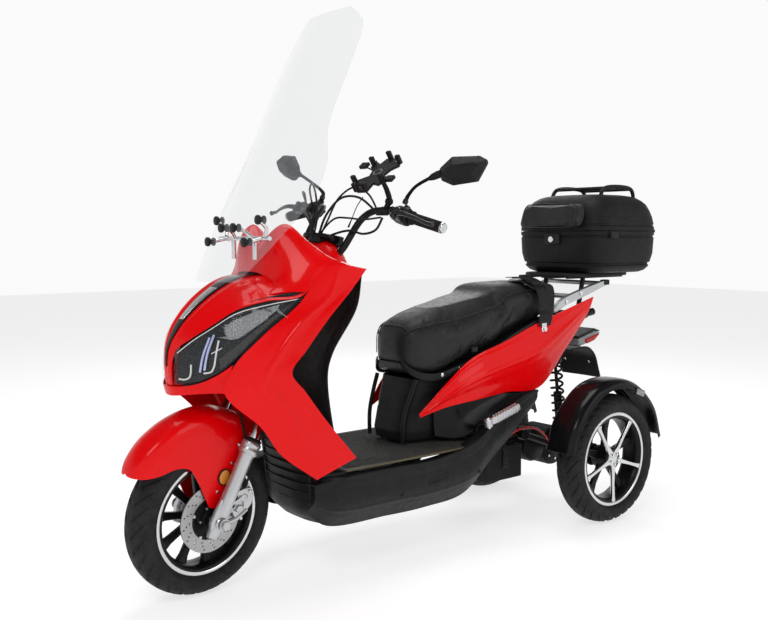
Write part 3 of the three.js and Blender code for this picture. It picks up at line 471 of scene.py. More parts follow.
def metal(name, color, roughness=(0.2, 0.34), stretch=(1, 1, 1), metallic=1.0, grain=90.0):
    mat = material(name, color, roughness[0], metallic)
    paint = Paint(mat)
    paint.colours(paint.noise(14, 3), tuple(c * 0.9 for c in color), color)
    paint.roughness(paint.noise(grain, 4, 0.6, stretch), *roughness)
    return paint.bump(paint.noise(grain * 3, 3, 0.6, stretch), 0.05, 0.0002).mat


def tyre_rubber():
    mat = material("tyre_rubber", (0.010, 0.010, 0.011), 0.7, Specular_IOR_Level=0.2)
    paint = Paint(mat)
    paint.colours(paint.noise(30, 5), (0.008, 0.008, 0.009), (0.018, 0.018, 0.019))
    paint.roughness(paint.noise(80, 4), 0.55, 0.8).bump(paint.noise(420, 4), 0.25, 0.0006)
    return paint.wear(0.3, (0.045, 0.045, 0.045)).mat


def seat_vinyl():
    mat = material("seat_vinyl", (0.014, 0.014, 0.014), 0.46, Specular_IOR_Level=0.24)
    paint = Paint(mat)
    paint.colours(paint.noise(9, 4), (0.010, 0.010, 0.010), (0.020, 0.020, 0.0195))
    paint.roughness(paint.noise(70, 4), 0.36, 0.56)
    paint.bump(paint.cells(520), 0.3, 0.0006).bump(paint.noise(18, 3), 0.15, 0.003)
    return paint.wear(0.2, (0.05, 0.05, 0.048)).mat


def webbing():
    mat = material("strap_webbing", (0.012, 0.012, 0.013), 0.75, Specular_IOR_Level=0.25)
    paint = Paint(mat)
    across, along = paint.waves(520, "X"), paint.waves(420, "DIAGONAL")
    paint.colours(across, (0.006, 0.006, 0.007), (0.022, 0.022, 0.023))
    paint.roughness(paint.noise(120, 3), 0.6, 0.85)
    return paint.bump(across, 0.5, 0.0006).bump(along, 0.5, 0.0006).mat


def clear(name, tint, roughness=0.02, alpha=0.2):
    mat = material(name, tint, roughness, Alpha=alpha, Specular_IOR_Level=0.6)
    mat.surface_render_method = "BLENDED"
    paint = Paint(mat)
    paint.roughness(paint.noise(6, 3), roughness, roughness + 0.05)
    paint.links.new(paint.span(paint.noise(2.5, 2), alpha * 0.85, alpha * 1.15), paint.shader.inputs["Alpha"])
    return mat


def floor_mat():
    mat = material("floor_mat", (0.06, 0.057, 0.05), 0.8)
    paint = Paint(mat)
    paint.colours(paint.noise(16, 5), (0.014, 0.0135, 0.013), (0.032, 0.030, 0.027))
    return paint.roughness(paint.noise(50, 4), 0.62, 0.85).bump(paint.noise(600, 3), 0.3, 0.0005).mat


def diffuser():
    """The light bar's prismatic cover."""
    mat = material("lamp_diffuser", (0.62, 0.63, 0.63), 0.35)
    paint = Paint(mat)
    paint.colours(paint.cells(260, "F1"), (0.48, 0.49, 0.49), (0.20, 0.21, 0.22), 0.1, 0.5)
    return paint.roughness(paint.noise(300, 3), 0.2, 0.5).bump(paint.cells(260), 0.8, 0.0015).mat


RED = red_gloss()
BLACK = grained("black_grained_plastic", (0.012, 0.012, 0.0125), (0.022, 0.022, 0.023))
CASE = grained("top_box_plastic", (0.011, 0.011, 0.012), (0.018, 0.018, 0.019), (0.5, 0.62), 1300.0, 0.0004)
GLOSS_BLACK = grained("gloss_black_plastic", (0.006, 0.006, 0.007), (0.011, 0.011, 0.012), (0.12, 0.22),
                      300.0, 0.0001)
CONTROL = grained("control_plastic", (0.010, 0.010, 0.011), (0.022, 0.022, 0.024), (0.35, 0.5), 1500.0,
                  0.0002)
FRAME_PAINT = grained("frame_powder_coat", (0.008, 0.008, 0.009), (0.016, 0.016, 0.017), (0.3, 0.45), 700.0,
                      0.0002)
LAMP_HOUSING = grained("lamp_housing", (0.010, 0.011, 0.012), (0.022, 0.023, 0.026), (0.2, 0.34), 500.0,
                       0.0002)
LAMP_BAND = grained("lamp_brown_band", (0.045, 0.040, 0.036), (0.075, 0.068, 0.062), (0.25, 0.4), 500.0,
                    0.0002)
TYRE = tyre_rubber()
GRIP = grained("grip_rubber", (0.013, 0.013, 0.013), (0.024, 0.024, 0.023), (0.65, 0.85), 1400.0, 0.0004)
CABLE = grained("cable_sheath", (0.009, 0.009, 0.009), (0.016, 0.016, 0.016), (0.3, 0.45), 900.0, 0.0001)
SEAT = seat_vinyl()
STRAP = webbing()
MAT = floor_mat()
CHROME = metal("polished_chrome", (0.78, 0.79, 0.80), (0.06, 0.14), (1, 1, 1), 1.0, 30.0)
ALLOY = metal("silver_lacquered_alloy", (0.55, 0.56, 0.57), (0.26, 0.4), (1, 1, 1), 0.85, 120.0)
POLISHED = metal("polished_rim_alloy", (0.66, 0.67, 0.68), (0.12, 0.24), (6, 1, 1), 1.0, 70.0)
DISC_STEEL = metal("ground_disc_steel", (0.42, 0.42, 0.42), (0.28, 0.42), (8, 1, 1), 1.0, 200.0)
RIM_BLACK = grained("rim_black_enamel", (0.006, 0.006, 0.006), (0.011, 0.011, 0.011), (0.25, 0.4), 400.0,
                    0.0001)
LEVER_BLACK = metal("lever_black_anodised", (0.035, 0.035, 0.036), (0.3, 0.42), (1, 1, 1), 0.7, 200.0)
BRASS = metal("olive_edge_trim", (0.10, 0.085, 0.05), (0.35, 0.5), (1, 1, 1), 0.5, 120.0)
CLEAR = clear("screen_clear_sheet", (0.50, 0.53, 0.56), 0.02, 0.11)
LENS = clear("lamp_clear_lens", (0.20, 0.22, 0.24), 0.03, 0.05)
DIFFUSER = diffuser()
LIGHT_GUIDE = metal("lamp_light_guide", (0.80, 0.81, 0.80), (0.2, 0.35), (1, 1, 1), 0.1, 300.0)
BLUE_GLASS = metal("lamp_blue_trim", (0.50, 0.54, 0.85), (0.1, 0.2), (1, 1, 1), 0.6, 60.0)
AMBER = metal("amber_reflector", (0.62, 0.22, 0.02), (0.25, 0.4), (1, 1, 1), 0.0, 500.0)
RED_LENS = metal("red_lamp_lens", (0.45, 0.004, 0.006), (0.1, 0.2), (1, 1, 1), 0.0, 300.0)
MIRROR_GLASS = metal("mirror_glass", (0.86, 0.88, 0.90), (0.01, 0.03), (1, 1, 1), 1.0, 5.0)


# ---------- wheels ----------
def tyre(name, space, body, repeats=30, turn=1):
    """A scooter tyre with diagonal shoulder grooves and a ribbed sidewall."""
    tread = np.linspace(-46, 46, 41)
    wall = [(53, 199), (53.5, 190), (52, 182), (49, 176), (44, 171), (39, 168), (38, 160), (37, 153)]
    xs = np.concatenate([[-x for x, _ in reversed(wall)], tread, [x for x, _ in wall]])
    def crown(x):
        return TYRE_RADIUS - 20 * (np.abs(x) / 48) ** 2.5

    rs = np.concatenate([[r for _, r in reversed(wall)], crown(tread), [r for _, r in wall]])
    segments = repeats * 16
    angles = np.arange(segments) * 2 * pi / segments
    phase = (np.arange(segments)[:, None] * repeats / segments + turn * (np.abs(xs)[None, :] / 40) ** 1.4) % 1
    across = np.clip((np.abs(xs) - 9) / 4, 0, 1) * np.clip((rs - 186) / 8, 0, 1)
    groove = np.clip(1.7 - 11 * np.abs(phase - 0.5), 0, 1) * across[None, :]
    r = rs[None, :] - 5.5 * groove
    x = np.tile(xs, (segments, 1))
    verts = np.stack([x, np.cos(angles)[:, None] * r, np.sin(angles)[:, None] * r], -1)
    size = len(xs)
    faces = [(i * size + j, ((i + 1) % segments) * size + j, ((i + 1) % segments) * size + (j + 1) % size,
              i * size + (j + 1) % size) for i in range(segments) for j in range(size)]
    ribs = both_sides(turned([(180, 50.5), (181.5, 52.6), (183, 52.8), (184.5, 52.2)], 120, closed=False))
    return make(name, [(verts.reshape(-1, 3), faces)] + ribs, TYRE, body, name, space,
                angle=50)


def rim_lip(sign=1):
    """The polished rolled edge of a rim."""
    return turned([(150, sign * 35), (154, sign * 38), (158, sign * 41.5), (163, sign * 42.5),
                   (166.5, sign * 41),
                   (167.5, sign * 38), (165, sign * 36), (158, sign * 34)], 120)


def barrel():
    return turned([(157, -40), (152, -36), (147, -22), (145, 0), (147, 22), (152, 36), (157, 40), (152, 40),
                   (146, 35), (141, 22), (139, 0), (141, -22), (146, -35), (152, -40)], 120)


def spoke(sections, space_turn=Matrix.Identity(4)):
    """A spoke up local z through (height, x, half thickness, half width) sections."""
    rings = [superellipse((x, 0, z), a, b, (1, 0, 0), (0, 1, 0), 16, 5) for z, x, a, b in sections]
    return moved(loft(rings), space_turn)


def front_wheel():
    tyre("front_tyre", AHEAD, "front_wheel")
    lips = rim_lip(1) + rim_lip(-1)
    make("front_rim_lips", lips, POLISHED, "front_wheel", space=AHEAD)
    arm = spoke([(24, 0, 13, 12), (40, 0, 11, 10.5), (80, 0, 9, 10), (120, 2, 9, 12), (146, 4, 13, 17),
                 (154, 4, 14, 20)])
    hub = turned([(9, -34), (22, -34), (26, -31), (27, -18), (34, -15), (35, 0), (34, 15), (30, 18), (29, 33),
                  (9, 34)], 48)
    make("front_rim", barrel() + spin(arm, 10, start=0.15) + hub, RIM_BLACK, "front_wheel",
         "front_rim",
         AHEAD, bevel=0.8, angle=40)
    valve = moved(knob(3, 0, 26, "Z", 0.6), Matrix.Translation((8, 0, 112)))
    make("front_valve", valve, CABLE, "front_wheel", space=AHEAD)
    brake_disc()


def brake_disc():
    holes = [circle(2.7, 10, (r * cos(a), r * sin(a))) for k in range(16)
             for r, a in [(70 + 9.5 * i, 2 * pi * k / 16 + 0.085 * i) for i in range(3)]]
    ring = plate([circle(98, 120), circle(61, 96)] + holes, 4, in_side_plane(50))
    make("brake_disc", ring, DISC_STEEL, "front_wheel", "brake_disc", AHEAD, angle=30)
    lobes = plate([[(r * cos(a), r * sin(a)) for k in range(60) for a in [2 * pi * k / 60]
                    for r in [60 + 6 * max(0, cos(5 * a)) ** 2]]] +
                  [circle(8, 16, (44 * cos(a), 44 * sin(a))) for a in np.arange(5) * 2 * pi / 5 + pi / 5], 6,
                  in_side_plane(47))
    cup = turned([(9.5, 35), (30, 35), (31, 40), (40, 45), (42, 50), (26, 51), (24, 56), (9.5, 57)], 48)
    make("disc_carrier", lobes + cup, RIM_BLACK, "front_wheel", space=AHEAD, bevel=0.6)
    bolt = moved(knob(5, 50, 55.5, "X", 1.2, 12), Matrix.Translation((0, 0, 58)))
    small = moved(knob(3.6, 50, 54.5, "X", 0.8, 12), Matrix.Translation((0, 0, 34)))
    make("disc_bolts", spin(bolt, 5) + spin(small, 5, start=0.4), ALLOY, "front_wheel",
         space=AHEAD)


# ---------- fork ----------
def fork():
    leg = turned([(0.1, -50), (10, -50), (15, -47), (18, -38), (19.5, -20), (20.5, 0), (20.5, 34),
                  (20.5, 120), (21.5, 190),
                  (23, 200), (28, 206), (29, 211), (29, 216), (28, 218), (28, 226), (29, 228), (29, 234),
                  (27, 238),
                  (22, 240), (0.1, 240)], 40, "Z")
    seal = turned([(17, 240), (25, 240), (26, 243), (24, 248), (19, 250), (17, 250)], 40, "Z")
    for side, hand in ((1, "left"), (-1, "right")):
        at = Matrix.Translation((side * FORK_HALF, -FORK_OFFSET, 0))
        boss = moved(turned([(0.1, -15), (15, -15), (19, -11), (19, 18), (16, 22), (0.1, 22)], 32, "X"),
                     Matrix.Scale(side, 4, (1, 0, 0)))
        web = loft([superellipse((0, 0, z), a, b, (1, 0, 0), (0, 1, 0), 24, 3)
                    for z, a, b in ((-30, 11, 17), (-8, 14, 26), (20, 13, 26), (60, 9, 23))])
        make("fork_slider_" + hand, moved(leg + boss + web, at), ALLOY, "front_slider",
             "fork_slider_" + hand, TURNED, angle=28)
        make("fork_seal_" + hand, moved(seal, at), CABLE, "front_slider", space=TURNED)
        tube_up = turned([(0.1, 190), (16.2, 190), (16.5, 192), (16.5, 408), (15, 411), (0.1, 411)], 48, "Z")
        make("fork_stanchion_" + hand, moved(tube_up, at), CHROME, "steering", space=TURNED)
    crown = plate([[(-118, -8), (-116, -34), (-96, -62), (-60, -60), (-28, -34), (28, -34), (60, -60),
                    (96, -62),
                    (116, -34), (118, -8), (60, 16), (30, 34), (-30, 34), (-60, 16)]], 26, lambda u, v,
                  d: (u, v, 392 + d))
    stem = rod((0, 0, 380), (0, 0, 812), 15) + moved(knob(21, 404, 430, "Z", 2), Matrix.Identity(4))
    saddle = block((64, 40, 30), (0, 0, 812))
    cap = block((60, 36, 12), (0, 0, 850))
    bolts = [p for x in (-22, 22) for y in (-12, 12)
             for p in moved(knob(4.5, 850, 861, "Z", 1, 12), Matrix.Translation((x, y, 0)))]
    make("fork_yoke", crown + stem + saddle + cap, FRAME_PAINT, "steering", "fork_yoke", TURNED,
         bevel=3)
    make("bar_clamp_bolts", bolts, ALLOY, "steering", space=TURNED)
    axle()
    caliper()


def axle():
    end = 121
    nut = moved(turned([(0.1, end), (13, end), (14, end + 1), (14, end + 9), (12.5, end + 10),
                        (0.1, end + 10)], 6), Matrix.Identity(4))
    washer = knob(17, end - 3, end, "X", 0.6, 32)
    make("front_axle", rod((-118, 0, 0), (end + 8, 0, 0), 8) + nut + washer + mirrored(washer), ALLOY,
         "front_slider",
         "front_axle", AHEAD, angle=30)


def caliper():
    """The cast bracket behind the left fork leg and the two-piston caliper on it."""
    y = -FORK_OFFSET
    rim = [(y + 8, -16), (y + 30, -8), (y + 62, 14), (y + 86, 44), (y + 97, 78), (y + 92, 104), (y + 70, 122),
           (y + 52, 112),
           (y + 30, 96), (y + 8, 104)]
    holes = [[(y + 32, 6), (y + 60, 26), (y + 40, 40)],
             [(y + 32, 52), (y + 50, 44), (y + 74, 66), (y + 62, 82)],
             [(y + 32, 64), (y + 56, 92), (y + 34, 84)]]
    bracket = plate([rim] + holes, 9, in_side_plane(FORK_HALF - 14))
    ribs = tube([(FORK_HALF - 8, y + 16, -10), (FORK_HALF - 8, y + 62, 22), (FORK_HALF - 8, y + 88, 60)], 4,
                20, 10)
    make("caliper_bracket", bracket + ribs, ALLOY, "front_slider", space=TURNED, bevel=1.6,
         angle=30)
    turn = Matrix.Translation((53, 84, 34)) @ Matrix.Rotation(radians(-24), 4, "X")
    outline = [(-22, -34), (12, -36), (24, -20), (24, 22), (10, 36), (-20, 34), (-12, 12), (-12, -14)]
    bridge = [(15, -26), (24, -20), (24, 22), (15, 30)]
    shell = plate([outline], 10, lambda u, v, d: (d - 15, u, v)) + plate([outline], 19, lambda u, v,
        d: (d + 10.5, u, v)) + \
        plate([bridge], 40, lambda u, v, d: (d, u, v))
    pistons = [p for v in (-17, 17) for p in moved(knob(12.5, 18, 27, "X", 2, 32),
                                                   Matrix.Translation((0, 6, v)))]
    lugs = [p for v in (-40, 40) for p in moved(knob(9, -12, 20, "X", 2, 24), Matrix.Translation((0, 16, v)))]
    make("brake_caliper", moved(shell + pistons + lugs, turn), ALLOY, "front_slider",
         "brake_caliper", AHEAD,
         bevel=3, angle=35)
    pads = [p for x in (-7, 7) for p in block((5, 46, 52), (x - 1, -16, 0))]
    boots = [p for v in (-40, 40) for p in moved(turned([(0.1, -30),
                                                         (6, -30)] + [(6 + 1.5 * (k % 2), -30 + 2 * k)
             for k in range(1, 9)] + [(0.1, -12)], 20), Matrix.Translation((0, 16, v)))]
    make("caliper_pads_and_boots", moved(pads + boots, turn), CABLE, "front_slider",
         space=AHEAD, bevel=0.8)
    nipple = moved(knob(4, 0, 16, "Z", 0.8, 12) + knob(2.6, 12, 24, "Z", 0.6, 12),
                   turn @ Matrix.Translation((8, 18, 34)))
    make("caliper_bolts", nipple + moved(spin(moved(knob(5.5, 24, 31, "X", 1, 6),
                                                    Matrix.Translation((0, 0, 40))), 2),
         turn @ Matrix.Translation((0, 16, 0))), POLISHED, "front_slider", space=AHEAD)
    hose = tube([(66, 100, 62), (78, 112, 110), (84, 104, 170), (70, 96, 240), (52, 92, 300), (40, 96, 350)],
                3.2, 50, 10)
    make("brake_hose", hose, CABLE, "front_slider", space=AHEAD)


def front_fender():
    def row(y, top, side_y, low, width):
        fall = min(50, 0.8 * (top - low))
        half = [(width, side_y, low), (width * 1.01, 0.5 * (side_y + y), 0.5 * (low + top - fall)),
                (width * 0.97, y, top - fall),
                (width * 0.78, y, top - 0.34 * fall), (width * 0.36, y, top - 0.06 * fall)]
        return half + [(0, y, top)] + [(-x, b, c) for x, b, c in reversed(half)]
    arch = surface([row(-240, 163, -239, 158, 8), row(-236, 176, -234, 155, 24),
                    row(-226, 196, -222, 153, 38),
                    row(-208, 221, -202, 152, 49),
                    row(-176, 251, -166, 156, 57), row(-126, 283, -118, 166, 60), row(-92, 298, -78, 158, 60),
                    row(-64, 307, -50, 120, 60), row(-38, 312, -24, 66, 60), row(-14, 315, -6, 34, 60),
                    row(12, 316, 22, 34, 60), row(36, 312, 44, 56, 60), row(58, 304, 62, 88, 60),
                    row(82, 296, 82, 128, 60), row(104, 286, 96, 160, 60)], 110, 60)
    make("front_fender", arch, RED, "front_slider", "front_fender", AHEAD, thick=3, bevel=0.8,
         angle=60)
    stays = [p for s in (1, -1) for p in rod((s * 54, 86, 204), (s * (FORK_HALF - 12), 92, 190), 5)]
    make("fender_stays", stays, ALLOY, "front_slider", space=AHEAD)
    for side, hand in ((1, "left"), (-1, "right")):
        flip = Matrix.Scale(side, 4, (1, 0, 0))
        spot = flip @ Matrix.Translation((0, 36, 116)) @ Matrix.Rotation(radians(-14), 4,
            "X") @ Matrix.Diagonal((1, 1.1, 1.3, 1))
        dome = turned([(0.1, 68.5), (8, 68.2), (13, 67.4), (15.5, 66), (16.5, 63), (16.5, 60)], 48,
                      closed=False)
        ring = turned([(15.4, 60), (18.6, 60), (18.6, 64), (17.6, 65.6), (16, 66), (15.4, 65)], 48)
        make("fender_reflector_" + hand, moved(dome, spot), AMBER, "front_slider", space=AHEAD)
        make("fender_reflector_rim_" + hand, moved(ring, spot), CABLE, "front_slider",
             space=AHEAD)
        screws = [p for y, z in ((62, 152), (14, 78)) for p in moved(knob(4.6, 59, 64, "X", 1.4, 20),
            flip @ Matrix.Translation((0, y, z)))]
        make("fender_screws_" + hand, screws, POLISHED, "front_slider", space=AHEAD)


# ---------- handlebar and controls ----------
BAR_HALF = [(0, 0, 830), (52, 0, 832), (86, -4, 868), (104, 6, 980), (122, 26, 1020), (165, 62, 1038),
            tuple(GRIP_INNER), tuple(GRIP_OUTER)]
BAR_POINTS = [(-x, y, z) for x, y, z in reversed(BAR_HALF[1:])] + BAR_HALF


def handlebar():
    bar = tube(BAR_POINTS, 10.6, 160, 24)
    clamp = loft([superellipse(c, 17, 17, a, b, 32, 3) for c, a, b in
                  [((134 + 24 * k, 32 + 20 * k, 1024 + 12 * k), (0.3, -0.55, 0.3),
                    (0, 0.5, 0.86)) for k in (0, 0.15, 0.85, 1)]])
    arm = tube([(146, 42, 1040), (150, 40, 1064), (144, 18, 1090), (136, -6, 1108)], (8, 9, 8, 7), 30, 20)
    joints = [p for c in ((150, 40, 1062), (136, -6, 1108)) for p in moved(knob(11, -9, 9, "X", 3, 32),
        Matrix.Translation(c))]
    make("handlebar", bar + arm + joints, FRAME_PAINT, "steering", "handlebar", TURNED, angle=50)
    make("phone_arm_clamp", clamp, CONTROL, "steering", space=TURNED, bevel=1)
    make("instrument_pod", instrument_pod(), GLOSS_BLACK, "steering", space=TURNED,
         bevel=1.5, angle=40)
    hood = loft([superellipse((0, 4 + lean, z), a, b, (1, 0, 0), (0, 1, 0), 64, 3.4) for z, a, b, lean in
                 ((792, 98, 52, 0), (800, 102, 56, 0), (826, 100, 56, 0), (846, 92, 50, -2),
                  (864, 76, 42, -6), (876, 60, 34, -10),
                  (880, 44, 26, -12))])
    make("steering_head_cover", hood, RED, "steering", space=TURNED, angle=60)


def instrument_pod():
    """The small display on the middle of the bars."""
    rings = [superellipse((0, -18, 878), 62, 30, (1, 0, 0), (0, 1, 0.0), 40, 5),
             superellipse((0, -18, 888), 68, 36, (1, 0, 0), (0, 1, 0.1), 40, 5),
             superellipse((0, -20, 904), 66, 34, (1, 0, 0), (0, 1, 0.35), 40, 5),
             superellipse((0, -20, 908), 60, 29, (1, 0, 0), (0, 1, 0.35), 40, 5)]
    return loft(rings)


def ribbed_grip(start, end, ribs=22):
    profile = [(12.4, start), (20.5, start), (21.5, start + 1.5), (21.5, start + 4), (19, start + 5.5),
               (17, start + 7)]
    step = (end - start - 12) / ribs
    for k in range(ribs):
        z = start + 8 + k * step
        profile += [(16.2, z), (17.2, z + 0.25 * step), (17.2, z + 0.75 * step)]
    return turned(profile + [(16.2, end - 3), (17.4, end - 2), (17.4, end - 0.5), (16.5, end), (12.4, end)],
                  48, "Z")


def brake_lever(side):
    x = side * 30
    path = [(x, -58, -2), (x, -66, 14), (x, -71, 34), (x, -68, 74), (x, -60, 110), (x, -60, 132)]
    sizes = [(5, 9), (5, 8), (4.5, 7), (4, 6.5), (4, 6), (4.5, 6)]
    line, dims = smooth(path, 40), smooth(sizes, 40)
    blade = loft([superellipse(c, w, t, (1, 0, 0), (0, 1, 0.1), 20, 3) for c, (t, w) in zip(line, dims)])
    ball = loft([superellipse((x, -60, 132 + 9 * k), max(0.3, 8 * (1 - abs(2 * k - 1) ** 2.2) ** 0.5),
                              max(0.3, 8 * (1 - abs(2 * k - 1) ** 2.2) ** 0.5),
                              (1, 0, 0), (0, 1, 0), 20, 2) for k in np.linspace(0, 1, 9)])
    eye = moved(knob(9, -4, 4, "X", 1.4, 24), Matrix.Translation((x, -58, -8)))
    return blade + ball + eye


def controls():
    for side, hand in ((1, "left"), (-1, "right")):
        space = bar_end(side)
        down = side
        grip = "grip_left" if side > 0 else "throttle_grip"
        body = "steering" if side > 0 else "throttle"
        make(grip, ribbed_grip(8, 122), GRIP, body, grip, space)
        end_cap = turned([(0.1, 122.5), (15.5, 122.5), (16.5, 124), (16.5, 130), (15, 133), (9, 134.5),
                          (6, 133), (0.1, 133)], 40, "Z")
        make("bar_weight_" + hand, end_cap, POLISHED, "steering", space=space)
        shell = loft([superellipse((down * 3, -2, z), a, b, (1, 0, 0), (0, 1, 0), 40, 3.2)
                      for z, a, b in ((-52, 20, 18), (-49, 23, 22), (-40, 25, 24), (-10, 26, 24), (0, 24, 23),
                                      (4, 21, 20))])
        seam = loft([superellipse((down * 3, -2, z), 25.5, 24.3, (1, 0, 0), (0, 1, 0), 40,
                                  3.2) for z in (-24.6, -23.4)])
        perch = block((22, 44, 30), (down * 20, -34, -22)) + block((24, 20, 12), (down * 37, -56, -8)) + \
            block((24, 20, 12), (down * 23, -56, -8))
        boss = moved(knob(11, -8, 14, "X", 2, 32), Matrix.Translation((down * -24, 0, -30)))
        make("switch_housing_" + hand, shell + boss, CONTROL, "steering",
             "switch_housing_" + hand, space,
             bevel=1, angle=40)
        make("switch_seam_" + hand, seam, CABLE, "steering", space=space)
        make("lever_perch_" + hand, perch, LEVER_BLACK, "steering", space=space, bevel=2.5)
        pin = moved(knob(5, down * 28 - 20, down * 28 + 20, "X", 1, 16), Matrix.Translation((0, -58, -8)))
        keys = [p for z in (-40, -14) for p in block((12, 6, 9), (down * -6, 23, z))] + \
            block((16, 7, 10), (down * -12, 21, -27))
        make("lever_pin_" + hand, pin, ALLOY, "steering", space=space)
        make("switch_keys_" + hand, keys, GRIP, "steering", space=space, bevel=1.6)
        make("brake_lever_" + hand, brake_lever(side), LEVER_BLACK, "brake_lever_" + hand,
             "brake_lever_" + hand, space, angle=50)
    horn = moved(turned([(0.1, 27), (7, 27), (7, 34), (6, 36), (3.5, 36.8), (0.1, 37)], 32, "Y"),
                 Matrix.Translation((6, 0, -24)))
    make("horn_button", horn, GRIP, "horn_button", "horn_button", bar_end(1))
    cables()


def cables():
    """Brake hoses, the throttle cable and the switch looms, gathered above the stem."""
    runs = [[(150, 20, 1010), (132, -34, 1046), (96, -62, 1052), (52, -66, 1012), (22, -48, 940),
             (8, -40, 868)],
            [(160, 8, 1004), (126, -58, 1020), (84, -82, 1004), (44, -78, 950), (14, -52, 900),
             (10, -40, 864)],
            [(176, 10, 992), (150, -30, 962), (112, -54, 952), (70, -62, 944), (30, -54, 912), (6, -44, 866)],
            [(188, 6, 990), (176, 10, 950), (140, 2, 930), (106, -22, 926), (62, -40, 900), (20, -44, 868)]]
    left = [p for k, run in enumerate(runs) for p in tube(run, 3.6 if k % 2 else 3.0, 70, 12)]
    right = mirrored([p for run in runs[:3] for p in tube([(x, y - 6, z + 4) for x, y, z in run], 3.2, 70,
                                                          12)])
    gather = loft([superellipse((0, -44, z), 26, 9, (1, 0, 0), (0, 1, 0), 32, 4) for z in (866, 870, 884,
        888)])
    tail = tube([(118, -36, 1034), (114, -40, 1000), (112, -38, 960), (110, -36, 930)], (1.6, 1.4, 1.4, 3.2),
                30, 10)
    make("control_cables", left + right + tail, CABLE, "steering", "control_cables", TURNED,
         angle=80)
    make("cable_clip", gather, CONTROL, "steering", space=TURNED, bevel=1)


def mirror(side, hand):
    """An angular mirror head on a slim stalk: a faceted shell with its glass facing the rider."""
    lean = Vector((side * 0.94, 0.24, 0.24)).normalized()
    up = Vector((0, -0.55, 0.83)).normalized()
    facing = lean.cross(up).normalized() * side
    if facing.y < 0:
        facing = -facing
    root = Vector((side * 318, 24, 1158))
    at = lambda a, b, c: root + lean * a + up * b + facing * c
    outline = [(2, -6), (6, 12), (44, 42), (126, 38), (150, 24), (152, 14), (122, -36), (46, -42), (12, -26)]
    ridge = [(20, -2), (24, 6), (54, 20), (118, 22), (136, 18), (138, 12), (112, -14), (52, -20), (26, -12)]
    grow = lambda points, k: [(76 + (a - 76) * k, b * k) for a, b in points]
    rings = [[at(a, b, 6) for a, b in grow(outline, 0.93)], [at(a, b, 8) for a, b in grow(outline, 0.99)],
             [at(a, b, 4) for a, b in outline], [at(a, b, -8) for a, b in grow(outline, 0.98)],
             [at(a, b, -30) for a, b in ridge], [at(a, b, -32) for a, b in grow(ridge, 0.9)]]
    shell = loft(rings)
    make("mirror_" + hand, shell, BLACK, "mirror_" + hand, "mirror_" + hand, TURNED,
         bevel=2.2, angle=12)
    glass = loft([[at(a, b, 7.2) for a, b in grow(outline, 0.9)],
                  [at(a, b, 8.6) for a, b in grow(outline, 0.89)]])
    make("mirror_glass_" + hand, glass, MIRROR_GLASS, "mirror_" + hand, space=TURNED,
         angle=20)
    stalk = tube([(side * 190, 66, 1082), (side * 192, 64, 1092), (side * 204, 56, 1102),
                  (side * 236, 38, 1116),
                  (side * 290, 24, 1136), (side * 322, 20, 1146)], (6.4, 6.4, 5.4, 5, 5.4, 6), 60, 20)
    neck = tube([(side * 292, 24, 1136), (side * 306, 22, 1141), (side * 322, 20, 1147),
                 (side * 338, 18, 1152)],
                (6.5, 10.5, 11.5, 11), 24, 24)
    foot = moved(knob(9, 1070, 1084, "Z", 2, 6), Matrix.Translation((side * 190, 66, 0)))
    make("mirror_stalk_" + hand, stalk, FRAME_PAINT, "mirror_" + hand, space=TURNED, angle=60)
    make("mirror_neck_" + hand, neck, GRIP, "mirror_" + hand, space=TURNED, angle=40)
    make("mirror_nut_" + hand, foot, LEVER_BLACK, "mirror_" + hand, space=TURNED, bevel=0.8)


def phone_cradle():
    """A cross-shaped spring holder: a plate with four hooked arms and two wire loops."""
    space = TURNED @ Matrix.Translation((128, -24, 1122)) @ Matrix.Rotation(-0.45, 4, "X") @ \
        Matrix.Rotation(-0.1, 4, "Y") @ Matrix.Scale(1.25, 4)
    plate_rim = [(-16, -78), (16, -78), (14, -46), (34, -52), (46, -30), (22, -16), (30, 14), (46, 30),
                 (36, 52), (20, 40), (14, 62),
                 (-14, 62), (-20, 40), (-34, 50), (-44, 28), (-26, 12), (-20, -14), (-46, -30), (-36, -54),
                 (-14, -46)]
    body = plate([plate_rim], 8, lambda u, v, d: (u, d, v))
    hooks = []
    for u, v in ((-15, -76), (15, -76), (0, 62), (42, -40), (42, 40), (-40, 40), (-42, -42)):
        hooks += block((13, 24, 9), (u, -12, v))
    make("phone_cradle", body + hooks, CONTROL, "phone_cradle", "phone_cradle", space,
         bevel=2.4, angle=30)
    loops = []
    for a, b in (((-62, 30), (-40, 52)), ((60, -34), (40, -52))):
        loops += tube([(a[0], -4, a[1]), (a[0] * 0.6, -3, a[1] * 0.6), (0, -3, 0),
                       (b[0] * 0.6, -3, b[1] * 0.6), (b[0], -4, b[1])], 2, 40, 10)
        loops += block((22, 8, 18), (a[0] * 1.02, -6, a[1] * 1.02))
    make("phone_cradle_springs", loops, FRAME_PAINT, "phone_cradle", space=space, bevel=1)
    ball = moved(turned([(0.1, 4), (16, 4), (17, 7), (13, 11), (8, 14), (7, 20), (0.1, 21)], 40, "Y"),
                 Matrix.Identity(4))
    make("phone_cradle_joint", ball, CONTROL, "phone_cradle", space=space)
    ring = moved(turned([(9, -5.5), (13, -5.5), (13, -3.5), (9, -3.5)], 40, "Y"), Matrix.Identity(4))
    make("phone_cradle_ring", ring, POLISHED, "phone_cradle", space=space)


